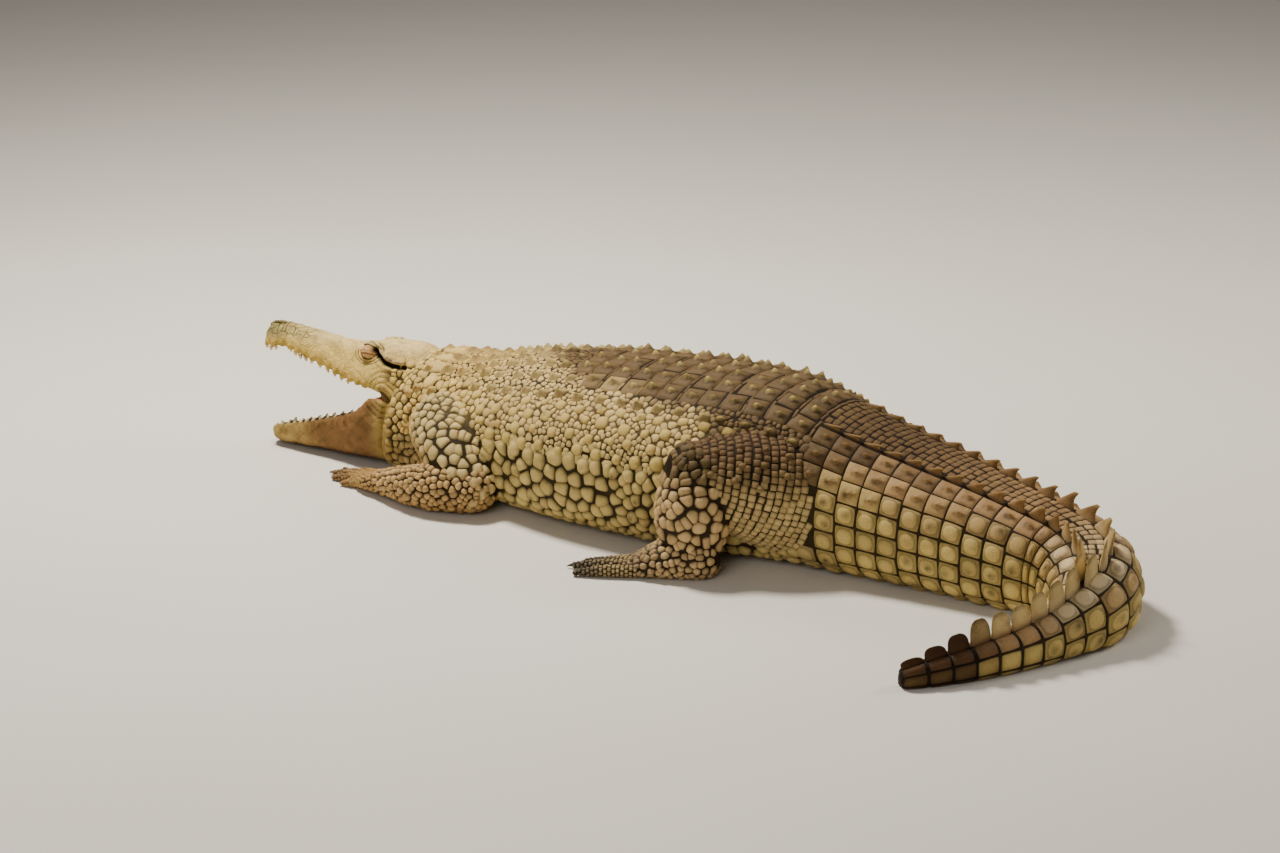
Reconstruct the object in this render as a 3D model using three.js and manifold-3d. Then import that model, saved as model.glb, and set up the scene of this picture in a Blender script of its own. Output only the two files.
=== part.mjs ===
// Nile crocodile at life size, lying with its jaws open and its tail curled to its left.
// Millimetres, +Z up. The snout points along -X, the animal's left side is -Y.
// The floor is z = 0 and the origin lies on it under the middle of the trunk.
import * as THREE from 'three';
import Module from 'manifold-3d';

const wasm = await Module();
wasm.setup();

// ---- driving dimensions ------------------------------------------------

const GAP = 0.4;              // clearance left where two pieces meet
const LIMB_GAP = 1.6;         // clearance between a limb and the body it lies on
const FINEST = 0.12;          // facets and edges finer than this are merged
const RING = 20;              // points round a section of the body
const NECK_FRONT = -455;      // arc length where the neck meets the head
const HEAD_YAW = 9;           // the head is turned this far to the animal's left
const HEAD_ROLL = 9;          // and tilted this far, its right side down
const ROLL_AXIS = 120;        // height of the axis it tilts about
const NECK_TURN_FROM = -330;  // the neck starts to turn here

// The spine behind the shoulders: straight, then the tail's curve to the left.
const TAIL_CURVE = [
  { length: 495, turn: 0 },
  { length: 489, turn: -6.7 },
  { length: 231, turn: -90.7 },
  { length: 400, turn: -34.1 },
];

// Sections by arc length u from the middle of the trunk, all resting on the floor.
const BODY = [
  { u: -455, width: 270, height: 247, square: 2.3 },
  { u: -390, width: 318, height: 247, square: 2.3 },
  { u: -300, width: 376, height: 262, square: 2.2 },
  { u: -180, width: 440, height: 287, square: 2.2 },
  { u: 20, width: 500, height: 312, square: 2.2 },
  { u: 200, width: 505, height: 322, square: 2.2 },
  { u: 330, width: 465, height: 326, square: 2.2 },
  { u: 400, width: 425, height: 322, square: 2.2 },
  { u: 470, width: 384, height: 304, square: 2.2 },
  { u: 600, width: 345, height: 266, square: 2.3 },
  { u: 720, width: 314, height: 239, square: 2.4 },
  { u: 880, width: 274, height: 204, square: 2.5 },
  { u: 1040, width: 224, height: 167, square: 2.5 },
  { u: 1150, width: 170, height: 137, square: 2.4 },
  { u: 1220, width: 128, height: 112, square: 2.4 },
  { u: 1290, width: 98, height: 90, square: 2.3 },
  { u: 1350, width: 82, height: 78, square: 2.3 },
  { u: 1450, width: 67, height: 65, square: 2.3 },
  { u: 1520, width: 57, height: 54, square: 2.3 },
  { u: 1580, width: 46, height: 44, square: 2.2 },
  { u: 1612, width: 36, height: 36, square: 2.0 },
];
const WIDEST = 0.42;          // share of the height at which a section is widest
const BELLY_SQUARE = 3.2;     // power of the lower half of a section
const BELLY_FLAT = 5;         // how much of the belly the floor flattens

// Where the body is parted into its lengths.
const LENGTHS = [
  { name: 'neck', from: NECK_FRONT, to: -330, rings: 4 },
  { name: 'trunk_front', from: -330, to: -60, rings: 6 },
  { name: 'trunk_rear', from: -60, to: 250, rings: 6 },
  { name: 'hips', from: 250, to: 500, rings: 6 },
];

// Tail whorls: the transverse bands of scales, each with its crest scutes.
const WHORL_START = 500;
const WHORLS = 25;
const TAIL_END = 1612;
const CREST_MERGE = 1180;     // the two crests join here
const CREST = [
  { u: 500, rise: 8, spread: 78 },
  { u: 700, rise: 12, spread: 66 },
  { u: 850, rise: 20, spread: 54 },
  { u: 1000, rise: 32, spread: 42 },
  { u: 1100, rise: 38, spread: 30 },
  { u: 1180, rise: 38, spread: 12 },
  { u: 1320, rise: 37, spread: 0 },
  { u: 1450, rise: 34, spread: 0 },
  { u: 1520, rise: 22, spread: 0 },
  { u: 1570, rise: 11, spread: 0 },
  { u: 1610, rise: 7, spread: 0 },
];
const TAIL_PIECES = [5, 9, 12, 15, 18, 21];   // whorl counts at which the tail is parted

// Head, in its own frame: a forward from the neck, b to the animal's left, c up.
const SKULL = [
  { a: 18, top: 232, lip: 112, wide: 78, table: 44 },
  { a: 42, top: 248, lip: 113, wide: 92, table: 52 },
  { a: 78, top: 250, lip: 135, wide: 97, table: 53 },
  { a: 110, top: 250, lip: 145, wide: 94, table: 50 },
  { a: 145, top: 246, lip: 150, wide: 86, table: 44 },
  { a: 178, top: 238, lip: 154, wide: 76, table: 36 },
  { a: 211, top: 233, lip: 161, wide: 66, table: 31 },
  { a: 247, top: 236, lip: 173, wide: 58, table: 28 },
  { a: 272, top: 240, lip: 181, wide: 55, table: 26 },
  { a: 300, top: 245, lip: 188, wide: 51, table: 25 },
  { a: 343, top: 251, lip: 199, wide: 42, table: 22 },
  { a: 366, top: 254, lip: 207, wide: 34, table: 20 },
  { a: 384, top: 255, lip: 203, wide: 38, table: 22 },
  { a: 405, top: 253, lip: 201, wide: 36, table: 20 },
  { a: 420, top: 244, lip: 205, wide: 26, table: 13 },
  { a: 427, top: 232, lip: 214, wide: 12, table: 6 },
];
const PALATE_VAULT = 9;
const MANDIBLE = [
  { a: 80.4, rim: 138, keel: 1, wide: 112 },
  { a: 105, rim: 141, keel: 1, wide: 106 },
  { a: 128, rim: 140, keel: 1, wide: 97 },
  { a: 146, rim: 126, keel: 1, wide: 93 },
  { a: 162, rim: 107, keel: 1, wide: 87 },
  { a: 190, rim: 92, keel: 1, wide: 76 },
  { a: 225, rim: 81, keel: 1, wide: 65 },
  { a: 265, rim: 69, keel: 2, wide: 56 },
  { a: 300, rim: 59, keel: 2, wide: 50 },
  { a: 335, rim: 50, keel: 2, wide: 43 },
  { a: 356, rim: 44, keel: 2, wide: 36 },
  { a: 370, rim: 42, keel: 3, wide: 34 },
  { a: 382, rim: 38, keel: 5, wide: 31 },
  { a: 392, rim: 33, keel: 9, wide: 22 },
  { a: 398, rim: 28, keel: 15, wide: 10 },
];
const JOWL = [
  { a: 0, width: 270, height: 247 },
  { a: 26, width: 262, height: 238 },
  { a: 52, width: 250, height: 212 },
  { a: 80, width: 232, height: 166 },
];
const MOUTH_FLOOR = 24;       // depth of the trough inside the lower jaw
const JAW_WALL = 11;
const EYE = { a: 154, b: 57, c: 226, radius: 13.5 };
const BROW = { a: 145, b: 47, c: 236, length: 27, width: 15, height: 12 };
const NOSTRIL_BUMP = { a: 396, c: 246, length: 24, width: 19, height: 11 };
const EAR_PATH = [[135, 56, 233], [125, 65, 221], [106, 75, 210], [82, 82, 205], [58, 86, 206]];
const TONGUE = { from: 95, to: 318, half: 30, thick: 13 };
// Teeth along one side: distance forward, height clear of the jaw, half thickness.
const UPPER_TEETH = [
  [415, 8, 2.8], [401, 10, 3.2], [387, 9, 3.0], [352, 8, 2.8], [339, 10, 3.4], [325, 12, 3.8],
  [310, 11, 3.4], [292, 8, 3.0], [272, 9, 3.2], [252, 10, 3.2], [233, 9, 3.0], [214, 8, 3.0], [196, 7, 2.6],
];
const LOWER_TEETH = [
  [391, 8, 2.8], [380, 8, 2.8], [367, 13, 3.6], [350, 7, 2.6], [334, 8, 2.8], [317, 9, 3.0],
  [300, 11, 3.2], [283, 10, 3.2], [264, 8, 2.8], [245, 7, 2.6], [226, 6, 2.4],
];

// Limbs on the animal's left. The right ones are the same, posed a little otherwise.
const ARM = {
  shoulder: [-342, -144, 132], elbow: [-220, -228, 56], wrist: [-430, -242, 30],
  girth: { shoulder: [78, 76], upper: [70, 66], elbow: [54, 52], fore: [47, 45], wrist: [32, 25] },
};
const HAND = {
  palm: [[-430, -242, 28, 32, 23], [-464, -229, 20, 38, 18], [-494, -213, 15, 37, 14]],
  tips: [[-556, -158], [-588, -178], [-596, -200], [-578, -226], [-540, -246]],
  roots: [[-482, -184], [-492, -194], [-494, -206], [-488, -218], [-474, -230]],
  radius: 9.5,
};
const LEG = {
  hip: [446, -92, 132], knee: [316, -232, 182], ankle: [330, -274, 54],
  girth: { hip: [128, 130], thigh: [104, 106], knee: [64, 68], calf: [76, 76], ankle: [60, 52] },
};
const FOOT = {
  sole: [[352, -274, 38, 52, 44], [318, -288, 34, 54, 40], [282, -304, 27, 54, 34], [244, -322, 15, 47, 18]],
  tips: [[170, -316], [140, -346], [132, -378], [158, -412]],
  roots: [[262, -290], [250, -312], [246, -334], [256, -356]],
  radius: 11,
};
const WEB_THICK = 12;
const CLAW = { length: 15, radius: 4.2 };
const RIGHT_POSE = { arm: { turn: -9, shift: [18, 0] }, leg: { turn: 7, shift: [-14, 4] } };

// ---- curves and frames ---------------------------------------------------

// Smooth value from a table, with slopes limited so that it never overshoots.
function along(rows, key, at, name) {
  const n = rows.length;
  if (at <= Math.min(rows[0][key], rows[n - 1][key])) return rows[rows[0][key] < rows[n - 1][key] ? 0 : n - 1][name];
  if (at >= Math.max(rows[0][key], rows[n - 1][key])) return rows[rows[0][key] < rows[n - 1][key] ? n - 1 : 0][name];
  let i = 0;
  while (i < n - 2 && at > rows[i + 1][key]) i += 1;
  const slope = (j) => (rows[j + 1][name] - rows[j][name]) / (rows[j + 1][key] - rows[j][key]);
  const knot = (j) => {
    if (j === 0) return slope(0);
    if (j === n - 1) return slope(n - 2);
    const [p, q] = [slope(j - 1), slope(j)];
    return p * q <= 0 ? 0 : (2 * p * q) / (p + q);
  };
  const h = rows[i + 1][key] - rows[i][key];
  const t = (at - rows[i][key]) / h;
  const [t2, t3] = [t * t, t * t * t];
  return (2 * t3 - 3 * t2 + 1) * rows[i][name] + (t3 - 2 * t2 + t) * h * knot(i)
    + (-2 * t3 + 3 * t2) * rows[i + 1][name] + (t3 - t2) * h * knot(i + 1);
}

// Place and heading of the spine at arc length u; heading 0 looks along +X.
function spineAt(u) {
  const step = 2;
  let [x, y, heading] = [0, 0, 0];
  if (u < 0) {
    const rate = THREE.MathUtils.degToRad(HEAD_YAW) / (NECK_TURN_FROM - NECK_FRONT);
    for (let s = 0; s > u; s -= step) {
      const d = Math.min(step, s - u);
      if (s <= NECK_TURN_FROM && s > NECK_FRONT) heading += rate * d;
      x -= Math.cos(heading) * d;
      y -= Math.sin(heading) * d;
    }
    return { x, y, heading };
  }
  let start = 0;
  for (const [i, bend] of TAIL_CURVE.entries()) {
    const last = i === TAIL_CURVE.length - 1;
    const rate = THREE.MathUtils.degToRad(bend.turn) / bend.length;
    const span = last ? u - start : Math.min(bend.length, u - start);
    for (let s = 0; s < span; s += step) {
      const d = Math.min(step, span - s);
      x += Math.cos(heading + rate * d / 2) * d;
      y += Math.sin(heading + rate * d / 2) * d;
      heading += rate * d;
    }
    start += bend.length;
    if (u <= start) break;
  }
  return { x, y, heading };
}

const HEAD_BASE = spineAt(NECK_FRONT);
const HEAD_DIR = [-Math.cos(HEAD_BASE.heading), -Math.sin(HEAD_BASE.heading)];
function headPoint(a, b, c) {
  const roll = THREE.MathUtils.degToRad(HEAD_ROLL) * THREE.MathUtils.smoothstep(a, 0, 70);
  const [cos, sin] = [Math.cos(roll), Math.sin(roll)];
  const side = b * cos - (c - ROLL_AXIS) * sin;
  const up = Math.max(0, ROLL_AXIS + b * sin + (c - ROLL_AXIS) * cos);
  return [HEAD_BASE.x + a * HEAD_DIR[0] - side * HEAD_DIR[1], HEAD_BASE.y + a * HEAD_DIR[1] + side * HEAD_DIR[0], up];
}

// ---- solids --------------------------------------------------------------

function manifoldOf(points, triangles) {
  let volume = 0;
  for (const [i, j, k] of triangles) {
    const [p, q, r] = [points[i], points[j], points[k]];
    volume += p[0] * (q[1] * r[2] - q[2] * r[1]) + p[1] * (q[2] * r[0] - q[0] * r[2]) + p[2] * (q[0] * r[1] - q[1] * r[0]);
  }
  const faces = volume < 0 ? triangles.map(([i, j, k]) => [i, k, j]) : triangles;
  return new wasm.Manifold(new wasm.Mesh({
    numProp: 3, vertProperties: new Float32Array(points.flat()), triVerts: new Uint32Array(faces.flat()),
  }));
}

// Skin a row of rings that all have the same number of points, and close both ends.
function loft(rings) {
  const n = rings[0].length;
  const points = rings.flat();
  const triangles = [];
  for (let i = 0; i < rings.length - 1; i += 1) {
    for (let j = 0; j < n; j += 1) {
      const [p, q] = [i * n + j, i * n + ((j + 1) % n)];
      triangles.push([p, q, q + n], [p, q + n, p + n]);
    }
  }
  for (const [end, flip] of [[0, true], [rings.length - 1, false]]) {
    const centre = [0, 1, 2].map((k) => rings[end].reduce((sum, p) => sum + p[k], 0) / n);
    const tip = points.push(centre) - 1;
    for (let j = 0; j < n; j += 1) {
      const [p, q] = [end * n + j, end * n + ((j + 1) % n)];
      triangles.push(flip ? [q, p, tip] : [p, q, tip]);
    }
  }
  return manifoldOf(points, triangles);
}

const power = (value, exponent) => Math.sign(value) * Math.abs(value) ** (2 / exponent);

// Half-width and height of a body section at angle t, on a superellipse flattened by the floor.
function sectionPoint(t, width, height, square, grow) {
  const [c, s] = [Math.cos(t), Math.sin(t)];
  const middle = height * WIDEST;
  const across = power(c, s >= 0 ? square : BELLY_SQUARE) * (width / 2 + grow);
  const up = s >= 0 ? middle + power(s, square) * (height - middle + grow)
    : middle + power(s, BELLY_SQUARE) * (middle + BELLY_FLAT + grow);
  return [across, Math.max(up, grow > 0 ? -BELLY_FLAT : 0)];
}

function bodyRing(u, grow = 0) {
  const { x, y, heading } = spineAt(u);
  const size = ['width', 'height', 'square'].map((name) => along(BODY, 'u', u, name));
  return Array.from({ length: RING }, (_, i) => {
    const [across, z] = sectionPoint((i / RING) * 2 * Math.PI, ...size, grow);
    return [x - Math.sin(heading) * across, y + Math.cos(heading) * across, z];
  });
}

function bodyLength(from, to, rings, grow = 0) {
  return loft(Array.from({ length: rings }, (_, i) => bodyRing(from + ((to - from) * i) / (rings - 1), grow)));
}

const DOME = [0.92, 0.62];    // rings of a round end, as shares of its radius

// A round-ended tube through places with a width and a height each, flattened by the floor.
function limb(places, { sides = 12, steps = 2, floor = 0, domed = [true, true] } = {}) {
  const at = (i) => places[Math.min(Math.max(i, 0), places.length - 1)];
  const cuts = [];
  for (let i = 0; i < places.length - 1; i += 1) {
    for (let k = 0; k < steps; k += 1) {
      const t = k / steps;
      cuts.push(at(i).map((_, m) => {
        const [p0, p1, p2, p3] = [at(i - 1)[m], at(i)[m], at(i + 1)[m], at(i + 2)[m]];
        return 0.5 * (2 * p1 + (p2 - p0) * t + (2 * p0 - 5 * p1 + 4 * p2 - p3) * t * t + (3 * p1 - p0 - 3 * p2 + p3) * t ** 3);
      }));
    }
  }
  cuts.push([...places[places.length - 1]]);
  const rings = [];
  const up = new THREE.Vector3(0, 0, 1);
  const ringAt = (centre, dir, rw, rh) => {
    const side = new THREE.Vector3().crossVectors(dir, up).normalize();
    const top = new THREE.Vector3().crossVectors(side, dir).normalize();
    return Array.from({ length: sides }, (_, j) => {
      const t = (j / sides) * 2 * Math.PI;
      const p = centre.clone().addScaledVector(side, Math.cos(t) * rw).addScaledVector(top, Math.sin(t) * rh);
      return [p.x, p.y, Math.max(p.z, floor)];
    });
  };
  cuts.forEach((cut, i) => {
    const here = new THREE.Vector3(...cut);
    const before = new THREE.Vector3(...cuts[Math.max(i - 1, 0)]);
    const after = new THREE.Vector3(...cuts[Math.min(i + 1, cuts.length - 1)]);
    const dir = after.sub(before).normalize();
    const [rw, rh] = [cut[3], cut[4]];
    const domeRing = (out) => ringAt(here.clone().addScaledVector(dir, out * rh), dir,
      rw * Math.sqrt(1 - out * out), rh * Math.sqrt(1 - out * out));
    if (i === 0 && domed[0]) rings.push(...DOME.map((out) => domeRing(-out)));
    rings.push(ringAt(here, dir, rw, rh));
    if (i === cuts.length - 1 && domed[1]) rings.push(...[...DOME].reverse().map(domeRing));
  });
  return loft(rings);
}

// An egg shape in the head's frame.
function headEgg(a, b, c, length, width, height, sides = 10) {
  const rings = [];
  const rows = 5;
  for (let i = 1; i < rows; i += 1) {
    const t = (i / rows) * Math.PI;
    rings.push(Array.from({ length: sides }, (_, j) => {
      const s = (j / sides) * 2 * Math.PI;
      return headPoint(a - Math.cos(t) * length, b + Math.sin(t) * Math.cos(s) * width, c + Math.sin(t) * Math.sin(s) * height);
    }));
  }
  return loft(rings);
}

// Everything on one side of a plane, as a large box.
function sideOf(point, normal) {
  const size = 4000;
  const box = new THREE.BoxGeometry(size, size, size).toNonIndexed();
  box.applyMatrix4(new THREE.Matrix4().makeTranslation(0, 0, size / 2));
  const turn = new THREE.Quaternion().setFromUnitVectors(new THREE.Vector3(0, 0, 1), new THREE.Vector3(...normal).normalize());
  box.applyQuaternion(turn);
  const position = box.attributes.position;
  const seen = new Map();
  const points = [];
  const index = [];
  for (let i = 0; i < position.count; i += 1) {
    const p = [position.getX(i) + point[0], position.getY(i) + point[1], position.getZ(i) + point[2]];
    const key = p.map((v) => v.toFixed(2)).join();
    if (!seen.has(key)) seen.set(key, points.push(p) - 1);
    index.push(seen.get(key));
  }
  return manifoldOf(points, Array.from({ length: index.length / 3 }, (_, i) => index.slice(3 * i, 3 * i + 3)));
}

// The two parts of a solid on either side of a plane, with the clearance between them.
function parted(solid, point, normal) {
  const unit = new THREE.Vector3(...normal).normalize();
  const off = (d) => [point[0] + unit.x * d, point[1] + unit.y * d, point[2] + unit.z * d];
  return [
    solid.intersect(sideOf(off(-GAP / 2), [-unit.x, -unit.y, -unit.z])),
    solid.intersect(sideOf(off(GAP / 2), [unit.x, unit.y, unit.z])),
  ];
}

// A cut can leave crumbs: keep the body itself, without crumbs or bubbles.
function whole(solid) {
  return solid.decompose().sort((p, q) => q.volume() - p.volume())[0];
}

// ---- head ------------------------------------------------------------------

function skullRing(row, grow = 0) {
  const height = row.top - row.lip;
  const wide = row.wide + grow;
  const table = row.table + grow;
  const mix = (t) => wide + (table - wide) * t;
  const half = [
    [wide * 0.5, row.lip + PALATE_VAULT * 0.8 - grow],
    [wide * 0.96, row.lip - grow],
    [wide, row.lip + height * 0.13],
    [mix(0.22) + 2, row.lip + height * 0.4],
    [mix(0.66) + 3, row.lip + height * 0.72],
    [table, row.top - height * 0.07 + grow],
    [table * 0.55, row.top + grow],
  ];
  const ring = [[0, row.lip + PALATE_VAULT - grow], ...half, [0, row.top + 1 + grow], ...half.slice().reverse().map(([b, c]) => [-b, c])];
  return ring.map(([b, c]) => headPoint(row.a + (row === SKULL[0] ? -grow : 0), b, c));
}

function mandibleRing(row, { inset = 0, floor = null } = {}) {
  const wide = row.wide - inset;
  const low = floor === null ? row.keel : row.rim - floor;
  const high = floor === null ? row.rim : row.rim + 40;
  const height = high - low;
  const half = floor === null
    ? [[wide * 0.62, low], [wide * 0.93, low + height * 0.2], [wide, low + height * 0.5], [wide * 0.99, low + height * 0.82], [wide * 0.96, high], [wide * 0.5, high]]
    : [[wide * 0.6, low + 1], [wide * 0.9, low + 5], [wide * 0.96, low + 16], [wide * 0.97, low + height * 0.6], [wide * 0.9, high], [wide * 0.5, high]];
  const ring = [[0, low], ...half, [0, high], ...half.slice().reverse().map(([b, c]) => [-b, c])];
  return ring.map(([b, c]) => headPoint(row.a, b, c));
}

// A tooth on a jaw: a small three-sided pyramid with its root sunk in the jaw.
function tooth(a, b, c, height, radius, up) {
  const root = 4;
  return loft([[-root, 1], [height, 0.2]].map(([out, share]) => Array.from({ length: 3 }, (_, j) => {
    const t = ((j + 0.37) / 3) * 2 * Math.PI;
    return headPoint(a + Math.cos(t) * radius * share, b + Math.sin(t) * radius * share, c + up * out);
  })));
}

function rowOfTeeth(table, rows, rim, up) {
  const teeth = [];
  for (const [a, height, radius] of rows) {
    for (const side of [-1, 1]) {
      const wide = along(table, 'a', a, 'wide') * 0.94 - (up > 0 ? 5.5 : 3.5);
      teeth.push(tooth(a, side * wide, along(table, 'a', a, rim), height, radius, up));
    }
  }
  return teeth;
}

const union = (solids) => wasm.Manifold.union(solids);

const eyes = [1, -1].map((side) => headEgg(EYE.a, side * EYE.b, EYE.c, EYE.radius, EYE.radius * 0.9, EYE.radius * 0.95));
const eyeSockets = [1, -1].map((side) => headEgg(EYE.a, side * EYE.b, EYE.c, EYE.radius + GAP, EYE.radius * 0.9 + GAP, EYE.radius * 0.95 + GAP));
const earFlaps = [1, -1].map((side) => limb(
  EAR_PATH.map(([a, b, c], i) => [...headPoint(a, side * b, c), 3, [3, 5, 6, 5, 3][i]]), { sides: 6, steps: 1, domed: [false, false] }));
const earSeats = [1, -1].map((side) => limb(
  EAR_PATH.map(([a, b, c], i) => [...headPoint(a, side * b, c), 3 + GAP, [3, 5, 6, 5, 3][i] + GAP]), { sides: 6, steps: 1 }));

const skull = union([
  loft(SKULL.map((row) => skullRing(row))),
  headEgg(NOSTRIL_BUMP.a, 0, NOSTRIL_BUMP.c, NOSTRIL_BUMP.length, NOSTRIL_BUMP.width, NOSTRIL_BUMP.height),
  ...[1, -1].map((side) => headEgg(BROW.a, side * BROW.b, BROW.c, BROW.length, BROW.width, BROW.height)),
  ...rowOfTeeth(SKULL, UPPER_TEETH, 'lip', -1),
]).subtract(union([...eyeSockets, ...earSeats]));
const skullRoom = loft(SKULL.map((row) => skullRing(row, GAP)));

const tongueShape = (grow) => loft([0, 0.1, 0.4, 0.75, 1].map((t) => {
  const a = TONGUE.from - grow + (TONGUE.to - TONGUE.from + 2 * grow) * t;
  const rim = along(MANDIBLE, 'a', a, 'rim');
  const depth = Math.min(MOUTH_FLOOR, (rim - along(MANDIBLE, 'a', a, 'keel')) * 0.5);
  const [wide, thick] = [TONGUE.half, TONGUE.thick].map((v) => v * Math.sqrt(Math.max(0.06, 1 - (2 * t - 1) ** 4)) + grow);
  return Array.from({ length: 10 }, (_, j) => {
    const s = (j / 10) * 2 * Math.PI;
    return headPoint(a, Math.cos(s) * wide, rim - depth + 2 - grow + Math.max(0, Math.sin(s) * thick + grow));
  });
}));
const tongue = whole(tongueShape(0).subtract(skullRoom));

const trough = loft(MANDIBLE.filter((row) => row.a > 90 && row.a < 395).map((row) => mandibleRing(
  { ...row, a: row.a - 3.3 }, { inset: JAW_WALL, floor: row.a > 390 ? MOUTH_FLOOR * 0.35 : Math.min(MOUTH_FLOOR, (row.rim - row.keel) * 0.5) })));
const mandible = union([
  loft(MANDIBLE.map((row) => mandibleRing(row))).subtract(trough),
  ...rowOfTeeth(MANDIBLE, LOWER_TEETH, 'rim', 1),
]).subtract(union([skullRoom, tongueShape(GAP)]));

const jowlRing = (row) => Array.from({ length: RING }, (_, i) => {
  const [across, z] = sectionPoint((i / RING) * 2 * Math.PI, row.width, row.height, 2.3, 0);
  return headPoint(row.a + (row.a === 0 ? GAP : 0), -across, z);
});
const throat = loft(JOWL.map(jowlRing)).subtract(skullRoom);

// ---- limbs -------------------------------------------------------------------

const mirrored = (places) => places.map(([x, y, ...rest]) => [x, -y, ...rest]);
function posed(places, { turn, shift }, about) {
  const [c, s] = [Math.cos(THREE.MathUtils.degToRad(turn)), Math.sin(THREE.MathUtils.degToRad(turn))];
  return places.map(([x, y, ...rest]) => {
    const [dx, dy] = [x - about[0], y - about[1]];
    return [about[0] + dx * c - dy * s + shift[0], about[1] + dx * s + dy * c + shift[1], ...rest];
  });
}

// One limb, parted at its middle joint and at the wrist or ankle, with its claws.
function limbPieces(names, chain, ends, place, room) {
  const [upper, lower] = chain.map(place);
  const pad = place(ends.pad);
  const joint = upper[upper.length - 1];
  const end = lower[lower.length - 1];
  const towards = (from, to) => new THREE.Vector3(to[0] - from[0], to[1] - from[1], to[2] - from[2]).normalize();
  const fold = towards(joint, end).sub(towards(joint, upper[0])).normalize();
  const upperSolid = parted(limb(upper), joint, fold.toArray())[0];
  const reach = towards(lower[lower.length - 2], end);
  const lowerSolid = parted(limb(lower, { domed: [true, false] }), joint, fold.toArray())[1];
  const digits = place(ends.tips).map((tip, i) => {
    const root = place(ends.roots)[i];
    const r = ends.radius;
    const mid = [(tip[0] + root[0]) / 2, (tip[1] + root[1]) / 2];
    return limb([[...root, r + 1, r + 1, r + 1], [...mid, r + 1, r, r + 1], [...tip, r * 0.62, r * 0.62, r * 0.62]],
      { sides: 5, steps: 1, domed: [false, false] });
  });
  const web = loft([0, 1].map((level) => [...place(ends.roots), ...place(ends.tips).reverse().map((tip, i) => {
    const root = place(ends.roots)[ends.roots.length - 1 - i];
    return [root[0] + (tip[0] - root[0]) * ends.web, root[1] + (tip[1] - root[1]) * ends.web];
  })].map(([x, y]) => [x, y, level * WEB_THICK])));
  const footSolid = parted(union([limb(pad, { sides: 10, steps: 1 }), ...digits, ...(ends.web > 0 ? [web] : [])]), end.slice(0, 3), reach.toArray())[1];
  const lowerCut = parted(lowerSolid, end.slice(0, 3), reach.toArray())[0];
  const claws = place(ends.tips).slice(0, 3).map((tip, i) => {
    const root = place(ends.roots)[i];
    const dir = new THREE.Vector2(tip[0] - root[0], tip[1] - root[1]).normalize();
    const r = ends.radius * 0.62;
    const out = (d) => [tip[0] + dir.x * (GAP + d), tip[1] + dir.y * (GAP + d)];
    return limb([[...out(0), r, CLAW.radius, CLAW.radius], [...out(CLAW.length * 0.5), r * 0.86, CLAW.radius * 0.72, CLAW.radius * 0.72],
      [...out(CLAW.length), r * 0.3, 0.8, 0.8]], { sides: 5, steps: 1, domed: [false, false] });
  });
  const side = names.side;
  return [
    [`${names.upper}_${side}`, whole(upperSolid.subtract(room))],
    [`${names.lower}_${side}`, whole(lowerCut.subtract(room))],
    [`${names.foot}_${side}`, whole(footSolid.subtract(room))],
    ...claws.map((claw, i) => [`${names.claw}_${side}_${i + 1}`, claw.subtract(room)]),
  ];
}

const girths = (points, sizes) => points.map((p, i) => [...p, ...sizes[i]]);
const middle = (p, q, t, lift) => [0, 1, 2].map((k) => p[k] + (q[k] - p[k]) * t + lift[k]);
const armChain = [
  girths([ARM.shoulder, middle(ARM.shoulder, ARM.elbow, 0.5, [0, -12, 12]), ARM.elbow], [ARM.girth.shoulder, ARM.girth.upper, ARM.girth.elbow]),
  girths([ARM.elbow, middle(ARM.elbow, ARM.wrist, 0.42, [0, -27, 3]), ARM.wrist], [ARM.girth.elbow, ARM.girth.fore, ARM.girth.wrist]),
];
const legChain = [
  girths([LEG.hip, middle(LEG.hip, LEG.knee, 0.5, [0, -8, 6]), LEG.knee], [LEG.girth.hip, LEG.girth.thigh, LEG.girth.knee]),
  girths([LEG.knee, middle(LEG.knee, LEG.ankle, 0.5, [4, -4, 0]), LEG.ankle], [LEG.girth.knee, LEG.girth.calf, LEG.girth.ankle]),
];
const armEnds = { pad: HAND.palm, tips: HAND.tips, roots: HAND.roots, radius: HAND.radius, web: 0 };
const legEnds = { pad: FOOT.sole, tips: FOOT.tips, roots: FOOT.roots, radius: FOOT.radius, web: 0.62 };

const bodyRoom = union([
  bodyLength(NECK_FRONT - 4, 620, 26, LIMB_GAP),
  loft(JOWL.map((row) => jowlRing({ ...row, width: row.width + 2 * LIMB_GAP, height: row.height + LIMB_GAP }))),
]);
const limbs = [1, -1].flatMap((side) => {
  const word = side > 0 ? 'left' : 'right';
  const place = (about, pose) => (places) => (side > 0 ? places : posed(mirrored(places), pose, [about[0], -about[1]]));
  return [
    ...limbPieces({ side: word, upper: 'upper_arm', lower: 'forearm', foot: 'hand', claw: 'hand_claw' },
      armChain, armEnds, place(ARM.shoulder, RIGHT_POSE.arm), bodyRoom),
    ...limbPieces({ side: word, upper: 'thigh', lower: 'shank', foot: 'foot', claw: 'foot_claw' },
      legChain, legEnds, place(LEG.hip, RIGHT_POSE.leg), bodyRoom),
  ];
});

// ---- tail ----------------------------------------------------------------------

const whorls = Array.from({ length: WHORLS + 1 }, (_, i) => WHORL_START + ((TAIL_END - WHORL_START) * i) / WHORLS);

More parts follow.
